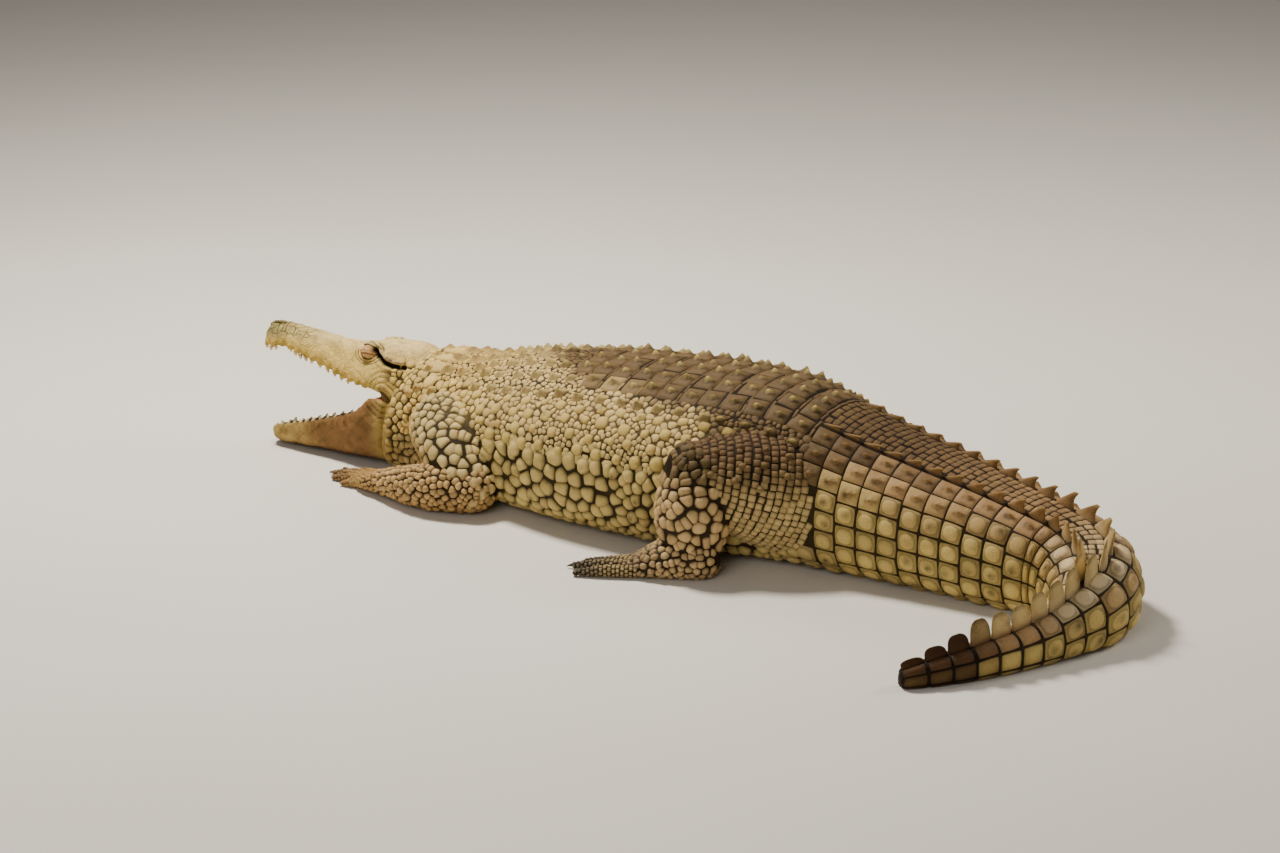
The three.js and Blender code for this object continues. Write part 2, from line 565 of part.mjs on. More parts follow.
// A crest scute: a thin keel that rises backwards over one whorl.
function crestScute(from, to, side) {
  const profile = [[0.06, 0.1], [0.78, 1], [0.97, 0.5]];
  const rise = along(CREST, 'u', (from + to) / 2, 'rise');
  const rings = profile.map(([t, share]) => {
    const u = from + (to - from) * t;
    const { x, y, heading } = spineAt(u);
    const spread = side * along(CREST, 'u', u, 'spread');
    const [width, height, square] = ['width', 'height', 'square'].map((name) => along(BODY, 'u', u, name));
    const level = height * WIDEST + height * (1 - WIDEST) * (1 - Math.abs(2 * spread / width) ** square) ** (1 / square);
    const lean = side * 0.5 * Math.min(1, Math.abs(spread) / 30);
    const thick = 4 + rise * 0.1;
    return [[-thick, -8], [thick, -8], [0, rise * share]].map(([b, c]) => {
      const across = spread + b + lean * Math.max(c, 0);
      return [x - Math.sin(heading) * across, y + Math.cos(heading) * across, level + c];
    });
  });
  return loft(rings);
}

const tailPieces = [];
const cuts = [0, ...TAIL_PIECES, whorls.length - 1];
for (let k = 0; k < cuts.length - 1; k += 1) {
  const [first, last] = [cuts[k], cuts[k + 1]];
  const [from, to] = [whorls[first] + (k === 0 ? 0 : GAP / 2), whorls[last] - (last === whorls.length - 1 ? 0 : GAP / 2)];
  const rings = Math.max(3, Math.round((to - from) / 48) + 1);
  const crest = [];
  for (let i = first; i < last; i += 1) {
    const sides = whorls[i] < CREST_MERGE ? [-1, 1] : [0];
    for (const side of sides) crest.push(crestScute(whorls[i], whorls[i + 1], side));
  }
  tailPieces.push([`tail_${k + 1}`, union([bodyLength(from, to, rings), ...crest])]);
}

// ---- the row ---------------------------------------------------------------------

const HIDE = '#8a8262';
const pieces = [
  ['head_upper', skull, '#b9ae8a'],
  ['lower_jaw', mandible, '#9a7a48'],
  ['tongue', tongue, '#8c8a74'],
  ['throat', throat, HIDE],
  ...LENGTHS.map(({ name, from, to, rings }, i) => [
    name, bodyLength(from, to - (i < LENGTHS.length - 1 ? GAP : GAP / 2), rings), HIDE]),
  ...tailPieces.map(([name, solid]) => [name, solid, HIDE]),
  ...limbs.map(([name, solid]) => [name, solid, name.includes('claw') ? '#3c3428' : HIDE]),
  ...['left', 'right'].flatMap((word, i) => [
    [`eye_${word}`, eyes[i], '#b98f7c'],
    [`ear_flap_${word}`, earFlaps[i].subtract(eyeSockets[i]), '#a89c78'],
  ]),
];

const row = new THREE.Group();
row.name = 'crocodile';
for (const [name, solid, colour] of pieces) {
  const mesh = solid.simplify(FINEST).getMesh();
  const geometry = new THREE.BufferGeometry();
  geometry.setAttribute('position', new THREE.BufferAttribute(new Float32Array(mesh.vertProperties), 3));
  geometry.setIndex(new THREE.BufferAttribute(new Uint32Array(mesh.triVerts), 1));
  geometry.computeVertexNormals();
  const piece = new THREE.Mesh(geometry, new THREE.MeshStandardMaterial({ color: colour, roughness: 0.8 }));
  piece.name = name;
  row.add(piece);
}

export default row;
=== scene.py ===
"""A Nile crocodile at life size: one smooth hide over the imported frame, with its scales,
crest, teeth and claws as separate pieces of mesh. Metres, +Z up, snout along -X."""

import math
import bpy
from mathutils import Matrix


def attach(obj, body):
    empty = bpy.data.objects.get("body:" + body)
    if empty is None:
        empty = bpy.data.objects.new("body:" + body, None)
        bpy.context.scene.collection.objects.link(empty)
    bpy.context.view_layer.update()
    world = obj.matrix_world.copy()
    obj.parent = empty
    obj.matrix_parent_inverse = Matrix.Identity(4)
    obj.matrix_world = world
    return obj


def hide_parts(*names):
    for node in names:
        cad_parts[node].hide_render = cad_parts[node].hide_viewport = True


bl_info = {
    "name": "Nile Crocodile",
    "version": (1, 0, 0),
    "blender": (4, 5, 0),
    "location": "View3D > Sidebar > Crocodile",
    "description": "Builds the hide, scales, crest, teeth and claws of a crocodile lying with its jaws open",
    "category": "Object",
}

from types import SimpleNamespace

import bmesh
import bpy
import numpy as np
from bpy.props import FloatProperty, FloatVectorProperty, IntProperty, PointerProperty
from mathutils import Vector
from mathutils.bvhtree import BVHTree
from mathutils.kdtree import KDTree

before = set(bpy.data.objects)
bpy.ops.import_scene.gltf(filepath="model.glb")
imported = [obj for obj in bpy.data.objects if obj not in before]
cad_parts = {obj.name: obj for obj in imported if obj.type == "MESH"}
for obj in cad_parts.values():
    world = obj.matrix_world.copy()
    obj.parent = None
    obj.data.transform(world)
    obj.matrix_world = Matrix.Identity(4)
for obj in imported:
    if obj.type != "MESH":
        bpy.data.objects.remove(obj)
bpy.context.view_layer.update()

# ---- the animal's sizes, in metres ------------------------------------------------

NECK_FRONT = -0.455           # arc length where the neck meets the head
NECK_TURN_FROM = -0.330
HEAD_YAW = math.radians(9)    # the head is turned this far to the animal's left
HEAD_ROLL = math.radians(9)   # and tilted this far, its right side down
ROLL_AXIS = 0.120
TAIL_CURVE = ((0.495, 0.0), (0.489, -6.7), (0.231, -90.7), (0.400, -34.1))
TAIL_START, TAIL_END, WHORLS = 0.500, 1.612, 25
CREST_MERGE = 1.180
WIDEST, BELLY_SQUARE, BELLY_FLAT = 0.42, 3.2, 0.005

# Sections by arc length: width, height, squareness.
BODY = (
    (-0.455, 0.270, 0.247, 2.3), (-0.390, 0.318, 0.247, 2.3), (-0.300, 0.376, 0.262, 2.2),
    (-0.180, 0.440, 0.287, 2.2), (0.020, 0.500, 0.312, 2.2), (0.200, 0.505, 0.322, 2.2),
    (0.330, 0.465, 0.326, 2.2), (0.400, 0.425, 0.322, 2.2), (0.470, 0.384, 0.304, 2.2),
    (0.600, 0.345, 0.266, 2.3), (0.720, 0.314, 0.239, 2.4), (0.880, 0.274, 0.204, 2.5),
    (1.040, 0.224, 0.167, 2.5), (1.150, 0.170, 0.137, 2.4), (1.220, 0.128, 0.112, 2.4),
    (1.290, 0.098, 0.090, 2.3), (1.350, 0.082, 0.078, 2.3), (1.450, 0.067, 0.065, 2.3),
    (1.520, 0.057, 0.054, 2.3), (1.580, 0.046, 0.044, 2.2), (1.612, 0.036, 0.036, 2.0),
)
# Depth of the coat over the hide, by arc length.
COAT_DEPTH = ((-0.46, 0.0025), (-0.40, 0.003), (-0.30, 0.004), (0.30, 0.0045), (1.20, 0.004), (1.612, 0.002))
# Crest scutes by arc length: rise, distance from the midline.
CREST = (
    (0.500, 0.008, 0.078), (0.700, 0.012, 0.066), (0.850, 0.020, 0.054), (1.000, 0.032, 0.042),
    (1.100, 0.038, 0.030), (1.180, 0.038, 0.012), (1.320, 0.037, 0.0), (1.450, 0.034, 0.0),
    (1.520, 0.022, 0.0), (1.570, 0.011, 0.0), (1.610, 0.007, 0.0),
)
# Skull by distance forward of the neck: top, lip, half width at the lip, half width of the roof.
SKULL = (
    (0.018, 0.232, 0.112, 0.078, 0.044), (0.042, 0.248, 0.113, 0.092, 0.052),
    (0.078, 0.250, 0.135, 0.097, 0.053),
    (0.110, 0.250, 0.145, 0.094, 0.050), (0.145, 0.246, 0.150, 0.086, 0.044),
    (0.178, 0.238, 0.154, 0.076, 0.036),
    (0.211, 0.233, 0.161, 0.066, 0.031), (0.247, 0.236, 0.173, 0.058, 0.028),
    (0.272, 0.240, 0.181, 0.055, 0.026),
    (0.300, 0.245, 0.188, 0.051, 0.025), (0.343, 0.251, 0.199, 0.042, 0.022),
    (0.366, 0.254, 0.207, 0.034, 0.020),
    (0.384, 0.255, 0.203, 0.038, 0.022), (0.405, 0.253, 0.201, 0.036, 0.020),
    (0.420, 0.244, 0.205, 0.026, 0.013),
    (0.427, 0.232, 0.214, 0.012, 0.006),
)
PALATE_VAULT = 0.009
# Lower jaw by distance forward: rim, keel, half width.
MANDIBLE = (
    (0.0804, 0.138, 0.001, 0.112), (0.105, 0.141, 0.001, 0.106), (0.128, 0.140, 0.001, 0.097),
    (0.146, 0.126, 0.001, 0.093), (0.162, 0.107, 0.001, 0.087), (0.190, 0.092, 0.001, 0.076),
    (0.225, 0.081, 0.001, 0.065), (0.265, 0.069, 0.002, 0.056), (0.300, 0.059, 0.002, 0.050),
    (0.335, 0.050, 0.002, 0.043), (0.356, 0.044, 0.002, 0.036), (0.370, 0.042, 0.003, 0.034),
    (0.382, 0.038, 0.005, 0.031), (0.392, 0.033, 0.009, 0.022), (0.398, 0.028, 0.015, 0.010),
)
MOUTH_FLOOR, JAW_WALL = 0.024, 0.011
# Jowl by distance forward: width, height.
JOWL = ((0.0, 0.270, 0.247), (0.026, 0.262, 0.238), (0.052, 0.250, 0.212), (0.080, 0.232, 0.166))
EYE = (0.154, 0.057, 0.226, 0.0135)
BROW = (0.145, 0.047, 0.236, 0.027, 0.015, 0.012)
NOSTRILS = (0.396, 0.0, 0.246, 0.024, 0.019, 0.011)
EAR_PATH = ((0.135, 0.056, 0.233), (0.125, 0.065, 0.221), (0.106, 0.075, 0.210), (0.082, 0.082, 0.205),
    (0.058, 0.086, 0.206))
TONGUE = (0.095, 0.318, 0.030, 0.013)
# Teeth along one side: distance forward, height clear of the jaw, half thickness.
UPPER_TEETH = (
    (0.415, 0.008, 0.0028), (0.401, 0.010, 0.0032), (0.387, 0.009, 0.0030), (0.352, 0.008, 0.0028),
    (0.339, 0.010, 0.0034), (0.325, 0.012, 0.0038), (0.310, 0.011, 0.0034), (0.292, 0.008, 0.0030),
    (0.272, 0.009, 0.0032), (0.252, 0.010, 0.0032), (0.233, 0.009, 0.0030), (0.214, 0.008, 0.0030),
    (0.196, 0.007, 0.0026),
)
LOWER_TEETH = (
    (0.391, 0.008, 0.0028), (0.380, 0.008, 0.0028), (0.367, 0.013, 0.0036), (0.350, 0.007, 0.0026),
    (0.334, 0.008, 0.0028), (0.317, 0.009, 0.0030), (0.300, 0.011, 0.0032), (0.283, 0.010, 0.0032),
    (0.264, 0.008, 0.0028), (0.245, 0.007, 0.0026), (0.226, 0.006, 0.0024),
)
# Limbs on the animal's left: joints as x, y, z, then half width and half height at each joint and between;
# the right ones are posed a little otherwise.
SHOULDER, ELBOW, WRIST = (-0.342, -0.144, 0.132), (-0.220, -0.228, 0.056), (-0.430, -0.242, 0.030)
HIP, KNEE, ANKLE = (0.446, -0.092, 0.132), (0.316, -0.232, 0.182), (0.330, -0.274, 0.054)
# Name, limb, its ends with their girths, where and how far it swells, the girth there, coat depth.
LIMB_LENGTHS = (
    ("upper_arm", "arm", SHOULDER, (0.078, 0.076), ELBOW, (0.054, 0.052), 0.5, (0, -0.012, 0.012),
        (0.070, 0.066), 0.003),
    ("forearm", "arm", ELBOW, (0.054, 0.052), WRIST, (0.032, 0.025), 0.42, (0, -0.027, 0.003),
        (0.047, 0.045), 0.0028),
    ("thigh", "leg", HIP, (0.128, 0.130), KNEE, (0.064, 0.068), 0.5, (0, -0.008, 0.006), (0.104, 0.106),
        0.003),
    ("shank", "leg", KNEE, (0.064, 0.068), ANKLE, (0.060, 0.052), 0.5, (0.004, -0.004, 0), (0.076, 0.076),
        0.0035),
)
HAND = {
    "pad": ((-0.430, -0.242, 0.028, 0.032, 0.023), (-0.464, -0.229, 0.020, 0.038, 0.018),
        (-0.494, -0.213, 0.015, 0.037, 0.014)),
    "tips": ((-0.556, -0.158), (-0.588, -0.178), (-0.596, -0.200), (-0.578, -0.226), (-0.540, -0.246)),
    "roots": ((-0.482, -0.184), (-0.492, -0.194), (-0.494, -0.206), (-0.488, -0.218), (-0.474, -0.230)),
    "radius": 0.0095,
}
FOOT = {
    "pad": ((0.352, -0.274, 0.038, 0.052, 0.044), (0.318, -0.288, 0.034, 0.054, 0.040),
        (0.282, -0.304, 0.027, 0.054, 0.034), (0.244, -0.322, 0.015, 0.047, 0.018)),
    "tips": ((0.170, -0.316), (0.140, -0.346), (0.132, -0.378), (0.158, -0.412)),
    "roots": ((0.262, -0.290), (0.250, -0.312), (0.246, -0.334), (0.256, -0.356)),
    "radius": 0.011,
}
ENDS = (("hand", HAND, "arm"), ("foot", FOOT, "leg"))
WEB = 0.62                    # how far along the toes the web between them reaches
CLAW_LENGTH, CLAW_RADIUS = 0.015, 0.0042
# How a right limb is turned about its root, in degrees, and shifted.
RIGHT_POSE = {"arm": (SHOULDER, -9, (0.018, 0.0)), "leg": (HIP, 7, (-0.014, 0.004))}


def smooth_table(rows, at):
    """Values from a table at given places, with slopes limited so that they never overshoot."""
    rows = np.asarray(rows, float)
    key, values = rows[:, 0], rows[:, 1:]
    at = np.clip(np.asarray(at, float), key[0], key[-1])
    slope = np.diff(values, axis=0) / np.diff(key)[:, None]
    knot = np.vstack([slope[:1], np.zeros_like(values[1:-1]), slope[-1:]])
    before, after = slope[:-1], slope[1:]
    same = before * after > 0
    knot[1:-1][same] = (2 * before * after)[same] / (before + after)[same]
    i = np.clip(np.searchsorted(key, at, side="right") - 1, 0, len(key) - 2)
    h = (key[i + 1] - key[i])[..., None]
    t = (at - key[i])[..., None] / h
    t2, t3 = t * t, t * t * t
    return ((2 * t3 - 3 * t2 + 1) * values[i] + (t3 - 2 * t2 + t) * h * knot[i]
            + (3 * t2 - 2 * t3) * values[i + 1] + (t3 - t2) * h * knot[i + 1])


def column(rows, k, at):
    """Column k of a table at given places."""
    return smooth_table(rows, at)[..., k - 1]


def coat_depth(u):
    return column(COAT_DEPTH, 1, u)


def trace_spine(step=0.001):
    """The spine's place and heading at every millimetre, from the head to the tail's tip."""
    turns, start = [], 0.0
    for length, turn in TAIL_CURVE:
        turns.append((start, start + length, math.radians(turn) / length))
        start += length
    x, y, heading, u = 0.0, 0.0, 0.0, 0.0
    back = [(u, x, y, heading)]
    while u < TAIL_END + 0.02:
        rate = next((r for a, b, r in turns if a <= u + step / 2 < b), turns[-1][2])
        x += math.cos(heading + rate * step / 2) * step
        y += math.sin(heading + rate * step / 2) * step
        heading += rate * step
        u += step
        back.append((u, x, y, heading))
    x, y, heading, u = 0.0, 0.0, 0.0, 0.0
    front = []
    rate = HEAD_YAW / (NECK_TURN_FROM - NECK_FRONT)
    while u > NECK_FRONT - 0.02:
        if NECK_FRONT < u <= NECK_TURN_FROM + 1e-9:
            heading += rate * step
        x -= math.cos(heading) * step
        y -= math.sin(heading) * step
        u -= step
        front.append((u, x, y, heading))
    return np.array(front[::-1] + back)


SPINE = trace_spine()


def spine(u):
    """Place and heading of the spine at arc length u."""
    return tuple(np.interp(u, SPINE[:, 0], SPINE[:, k]) for k in (1, 2, 3))


HEAD_X, HEAD_Y, HEAD_TURN = (float(v) for v in spine(NECK_FRONT))
HEAD_DIR = (-math.cos(HEAD_TURN), -math.sin(HEAD_TURN))


def ease(x, low, high):
    t = np.clip((np.asarray(x, float) - low) / (high - low), 0, 1)
    return t * t * (3 - 2 * t)


def head_point(a, b, c, floor=0.0):
    """A point given in the head's frame: a forward, b to the animal's left, c up."""
    a, b, c = (np.asarray(v, float) for v in (a, b, c))
    roll = HEAD_ROLL * ease(a, 0, 0.07)
    side = b * np.cos(roll) - (c - ROLL_AXIS) * np.sin(roll)
    up = np.maximum(floor, ROLL_AXIS + b * np.sin(roll) + (c - ROLL_AXIS) * np.cos(roll))
    return np.stack([HEAD_X + a * HEAD_DIR[0] - side * HEAD_DIR[1],
        HEAD_Y + a * HEAD_DIR[1] + side * HEAD_DIR[0], up], -1)


def head_place(points):
    """The head's a, b, c of points in the row frame."""
    dx, dy = points[:, 0] - HEAD_X, points[:, 1] - HEAD_Y
    a = dx * HEAD_DIR[0] + dy * HEAD_DIR[1]
    side = -dx * HEAD_DIR[1] + dy * HEAD_DIR[0]
    roll = HEAD_ROLL * ease(a, 0, 0.07)
    up = points[:, 2] - ROLL_AXIS
    return a, side * np.cos(roll) + up * np.sin(roll), ROLL_AXIS - side * np.sin(roll) + up * np.cos(roll)


def section(phi, width, height, square, depth):
    """Offsets across and up of a body section, at angles from the top of the back."""
    s, c = np.sin(phi), np.cos(phi)
    top = c >= 0
    n = np.where(top, square, BELLY_SQUARE)
    middle = height * WIDEST
    across = np.sign(s) * np.abs(s) ** (2 / n) * (width / 2 - depth)
    up = np.where(top, middle + np.abs(c) ** (2 / n) * (height - middle - depth),
                  middle - np.abs(c) ** (2 / n) * (middle + BELLY_FLAT))
    return across, np.maximum(up, depth * 0.8)


def body_points(u, phi, depth=0.0):
    """Points of the body at arc lengths u and angles phi, as a grid."""
    u = np.atleast_1d(u)
    x, y, heading = (v[:, None] for v in spine(u))
    width, height, square = (smooth_table(BODY, u)[:, k, None] for k in range(3))
    depth = np.broadcast_to(np.asarray(depth, float).reshape(-1, 1), (len(u), 1))
    across, up = section(phi[None, :] if np.ndim(phi) == 1 else phi, width, height, square, depth)
    return np.stack([x - np.sin(heading) * across, y + np.cos(heading) * across, up], -1)


def jowl_points(a, phi, depth):
    width, height = (smooth_table(JOWL, np.atleast_1d(a))[:, k, None] for k in range(2))
    across, up = section(phi[None, :] if np.ndim(phi) == 1 else phi, width, height, 2.3, depth)
    return head_point(np.atleast_1d(a)[:, None], -across, up, floor=depth * 0.8)


def evenly(ring, count):
    """A closed grid row, from belly round the left, the back and the right, resampled by its length."""
    steps = np.linalg.norm(np.diff(ring, axis=1), axis=2)
    out = np.empty((len(ring), count, 3))
    half = ring.shape[1] // 2
    girth = np.empty(len(ring))
    for i, row in enumerate(ring):
        run = np.concatenate([[0], np.cumsum(steps[i])])
        left, right = run[half], run[-1] - run[half]
        share = np.where(run <= left, run / left - 1, (run - left) / right)
        want = np.linspace(-1, 1, count)
        out[i] = np.stack([np.interp(want, share, row[:, k]) for k in range(3)], -1)
        girth[i] = (left + right) / 2
    return out, girth


def limb_rings(places, sides, depth, steps=5):
    """Rings of a round-ended tube through places that each have a half width and a half height."""
    places = np.asarray(places, float)
    cuts = []
    count = len(places)
    for i in range(count - 1):
        p0, p1, p2, p3 = (places[min(max(k, 0), count - 1)] for k in (i - 1, i, i + 1, i + 2))
        for k in range(steps):
            t = k / steps
            square, cube = (2 * p0 - 5 * p1 + 4 * p2 - p3) * t * t, (3 * p1 - p0 - 3 * p2 + p3) * t ** 3
            cuts.append(0.5 * (2 * p1 + (p2 - p0) * t + square + cube))
    cuts = np.array(cuts + [places[-1]])
    phi = np.linspace(-math.pi, math.pi, sides, endpoint=False)
    rings, run = [], []
    length = 0.0
    for i, cut in enumerate(cuts):
        heading = cuts[min(i + 1, len(cuts) - 1)][:3] - cuts[max(i - 1, 0)][:3]
        heading /= np.linalg.norm(heading)
        side = np.cross(heading, (0, 0, 1))
        side /= np.linalg.norm(side)
        top = np.cross(side, heading)
        wide, high = cut[3] - depth, cut[4] - depth
        if i:
            length += np.linalg.norm(cut[:3] - cuts[i - 1][:3])

        def ring(out):
            share = math.sqrt(1 - out * out)
            centre = cut[:3] + heading * out * high
            points = centre + np.outer(np.sin(phi) * wide * share,
                side) + np.outer(np.cos(phi) * high * share, top)
            points[:, 2] = np.maximum(points[:, 2], depth * 0.8)
            return points

        if i == 0:
            for out in (-0.96, -0.82, -0.6, -0.32):
                rings.append(ring(out))
                run.append(length + out * high)
        rings.append(ring(0.0))
        run.append(length)
        if i == len(cuts) - 1:
            for out in (0.32, 0.6, 0.82, 0.96):
                rings.append(ring(out))
                run.append(length + out * high)
    return np.array(rings), np.array(run)


def posed(points, side, limb):
    """Places of a left limb, or the same mirrored and posed for the right."""
    if side == "left":
        return [tuple(p) for p in points]
    about, turn, shift = RIGHT_POSE[limb]
    c, s = math.cos(math.radians(turn)), math.sin(math.radians(turn))
    out = []
    for x, y, *rest in points:
        dx, dy = x - about[0], -y + about[1]
        out.append((about[0] + dx * c - dy * s + shift[0], -about[1] + dx * s + dy * c + shift[1], *rest))
    return out


def limb_places():
    """Every limb's lengths, hands, feet and digits as (name, places, coat depth)."""
    made = []
    for side in ("left", "right"):
        for name, limb, start, start_girth, end, end_girth, t, swell, girth, depth in LIMB_LENGTHS:
            middle = tuple(start[k] + (end[k] - start[k]) * t + swell[k] for k in range(3))
            places = [start + start_girth, middle + girth, end + end_girth]
            made.append((f"{name}_{side}", posed(places, side, limb), depth))
        for word, ends, limb in ENDS:
            made.append((f"{word}_{side}", posed(ends["pad"], side, limb), 0.002))
            r = ends["radius"]
            tips, roots = (posed(ends[key], side, limb) for key in ("tips", "roots"))
            for i, (tip, root) in enumerate(zip(tips, roots)):
                middle = ((tip[0] + root[0]) / 2, (tip[1] + root[1]) / 2)
                places = [root + (r + 0.001,) * 3, middle + (r + 0.001, r, r + 0.001), tip + (r * 0.62,) * 3]
                made.append((f"{word}_{side}_digit_{i + 1}", places, 0.001))
    return made


LIMBS = {name: (places, depth) for name, places, depth in limb_places()}


# ---- shared working state and mesh helpers ----------------------------------------

MADE = {}                     # the hide's search tree, and the materials that several pieces share
REGIONS = {}                  # the surfaces that scales are laid on, by name
GRAIN = np.random.default_rng(41)
RICHNESS = 1.10               # how much stronger the colours are than their numbers


def linear(rgb):
    """A colour given as 0 to 255 steps, as the shaders take it."""
    value = (np.asarray(rgb, float) / 255) ** 2.85
    grey = value @ (0.21, 0.72, 0.07)
    return np.clip(grey + (value - grey) * RICHNESS, 0, 1)


def mixed(p, q, t):
    """Colour p passing into colour q by the share t; either may be given as a tuple of 0 to 255 steps."""
    p, q = (linear(colour) if isinstance(colour, tuple) else colour for colour in (p, q))
    t = np.asarray(t, float)[..., None]
    return p * (1 - t) + q * t


def layered(colour, *coats):
    """A colour with others laid over it in turn, each with its share."""
    for over, share in coats:
        colour = mixed(colour, over, share)
    return colour


def waves(points, size, seed):
    """Smooth variation from about -1 to 1 over space, with features of about the given size."""
    rng = np.random.default_rng(seed)
    total = np.zeros(len(points))
    for _ in range(7):
        direction = rng.normal(size=3)
        direction /= np.linalg.norm(direction)
        total += np.sin(points @ direction * (2 * math.pi / size) * rng.uniform(0.6, 1.5)
                        + rng.uniform(0, 6.28))
    return total / 3.2


def link(obj):
    bpy.context.scene.collection.objects.link(obj)
    return obj


def object_from(name, bm):
    """A new object from a bmesh, which is then freed."""
    bmesh.ops.recalc_face_normals(bm, faces=bm.faces)
    data = bpy.data.meshes.new(name)
    bm.to_mesh(data)
    bm.free()
    return link(bpy.data.objects.new(name, data))


def add_loft(bm, rings):
    """Skins rows of rings by extruding the first along the rest, and closes both ends."""
    count = len(rings[0])
    start = bmesh.ops.create_circle(bm, segments=count, radius=1.0)["verts"]
    for vert, place in zip(start, rings[0]):
        vert.co = place
    row = list(start)
    near = [bm.edges.get((row[i], row[(i + 1) % count])) for i in range(count)]
    first = list(row)
    for ring in rings[1:]:
        grown = bmesh.ops.extrude_edge_only(bm, edges=near)["geom"]
        fresh = {v for v in grown if isinstance(v, bmesh.types.BMVert)}
        row = [next(e.other_vert(v) for e in v.link_edges if e.other_vert(v) in fresh) for v in row]
        for vert, place in zip(row, ring):
            vert.co = place
        near = [bm.edges.get((row[i], row[(i + 1) % count])) for i in range(count)]
    for end in (first, row):
        rim = [bm.edges.get((end[i], end[(i + 1) % count])) for i in range(count)]
        cap = bmesh.ops.contextual_create(bm, geom=end + rim)
        bmesh.ops.poke(bm, faces=cap["faces"])


def applied(obj):
    """The object's mesh with its modifiers applied."""
    graph = bpy.context.evaluated_depsgraph_get()
    data = bpy.data.meshes.new_from_object(obj.evaluated_get(graph))
    obj.modifiers.clear()
    old = obj.data
    obj.data = data
    bpy.data.meshes.remove(old)
    return obj


def with_modifier(obj, kind, **settings):
    modifier = obj.modifiers.new(kind.title(), kind)
    for key, value in settings.items():
        setattr(modifier, key, value)
    return obj


def subdivided(obj, levels):
    return applied(with_modifier(obj, "SUBSURF", levels=levels, render_levels=levels))


def joined(name, objects):
    """One object from several; the others are removed."""
    bm = bmesh.new()
    for obj in objects:
        bm.from_mesh(obj.data)
        bpy.data.objects.remove(obj)
    data = bpy.data.meshes.new(name)
    bm.to_mesh(data)
    bm.free()
    return link(bpy.data.objects.new(name, data))


def places_of(data):
    co = np.empty(len(data.vertices) * 3)
    data.vertices.foreach_get("co", co)
    return co.reshape(-1, 3)


def set_places(data, co):
    data.vertices.foreach_set("co", np.ascontiguousarray(co, dtype=np.float64).ravel())
    data.update()


def normals_of(data):
    out = np.empty(len(data.vertices) * 3)
    data.vertex_normals.foreach_get("vector", out)
    return out.reshape(-1, 3)


def relax(data, rounds, share):
    """Smooths a mesh by its neighbours' mean; share is a weight for each vertex."""
    edges = np.empty(len(data.edges) * 2, int)
    data.edges.foreach_get("vertices", edges)
    p, q = edges[::2], edges[1::2]
    co = places_of(data)
    count = len(co)
    degree = np.bincount(p, minlength=count) + np.bincount(q, minlength=count)
    share = np.broadcast_to(share, (count,))[:, None]
    for i in range(rounds):
        total = [np.bincount(p, co[q, k], count) + np.bincount(q, co[p, k], count) for k in range(3)]
        mean = np.stack(total, -1) / np.maximum(degree, 1)[:, None]
        co += (mean - co) * share * (0.62 if i % 2 == 0 else -0.3)
    set_places(data, co)


def search_tree(obj):
    bm = bmesh.new()
    bm.from_mesh(obj.data)
    tree = BVHTree.FromBMesh(bm)
    bm.free()
    return tree


def paint(data, colours):
    """Stores a colour for each vertex, in linear light."""
    layer = data.color_attributes.new("tone", "FLOAT_COLOR", "POINT")
    full = np.ones((len(data.vertices), 4), np.float32)
    full[:, :3] = colours
    layer.data.foreach_set("color", full.ravel())


def finish_piece(obj, material, replaced=()):
    """Gives a piece its material, its ride on the frame and the nodes that it stands for."""
    obj.data.materials.clear()
    obj.data.materials.append(material)
    obj.data.polygons.foreach_set("use_smooth", np.ones(len(obj.data.polygons), bool))
    obj.data.update()
    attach(obj, "root")
    if replaced:
        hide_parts(*replaced)


# ---- surfaces that scales are laid on ---------------------------------------------

class Surface:
    """A grid of points read by a run s and a share f of the half girth, 0 at the top and 1 at the belly."""

    def __init__(self, run, rings, tone, group="trunk", even=True, patch=(0.02, 0.96, 0.02, 0.96)):
        self.tone, self.patch = tone, patch
        self.points, self.girth = evenly(rings, 97)
        if not even:
            self.points = np.asarray(rings, float)
        self.group = group
        self.low, self.high = self.points.min((0, 1)) - 0.02, self.points.max((0, 1)) + 0.02
        self.run = np.asarray(run, float)
        along = np.gradient(self.points, axis=0)
        across = np.gradient(self.points, axis=1)
        across[:, 0] = across[:, -1] = (self.points[:, 1] - self.points[:, -2])
        normal = np.cross(along, across)
        normal /= np.linalg.norm(normal, axis=2, keepdims=True) + 1e-12
        centre = self.points.mean(1, keepdims=True)
        self.flipped = ((self.points - centre) * normal).sum() < 0
        self.normal = -normal if self.flipped else normal
        rows, columns = self.points.shape[:2]
        grid = np.arange(rows * columns).reshape(rows, columns)
        quads = np.stack([grid[:-1, :-1], grid[1:, :-1], grid[1:, 1:], grid[:-1, 1:]], -1).reshape(-1, 4)
        self.tree = BVHTree.FromPolygons([tuple(p) for p in self.points.reshape(-1, 3)], quads.tolist())

    def at(self, s, f):
        """Points, normals and half girths at places (s, f)."""
        i = np.clip(np.interp(s, self.run, np.arange(len(self.run))), 0, len(self.run) - 1.001)
        j = (np.mod(f + 1, 2) / 2) * (self.points.shape[1] - 1)
        j = np.clip(j, 0, self.points.shape[1] - 1.001)
        i0, j0 = i.astype(int), j.astype(int)
        ti, tj = (i - i0)[..., None], (j - j0)[..., None]

        def read(grid):
            return ((grid[i0, j0] * (1 - tj) + grid[i0, j0 + 1] * tj) * (1 - ti)
                    + (grid[i0 + 1, j0] * (1 - tj) + grid[i0 + 1, j0 + 1] * tj) * ti)
        normal = read(self.normal)
        normal = normal / (np.linalg.norm(normal, axis=-1, keepdims=True) + 1e-12)
        return read(self.points), normal, np.interp(s, self.run, self.girth)


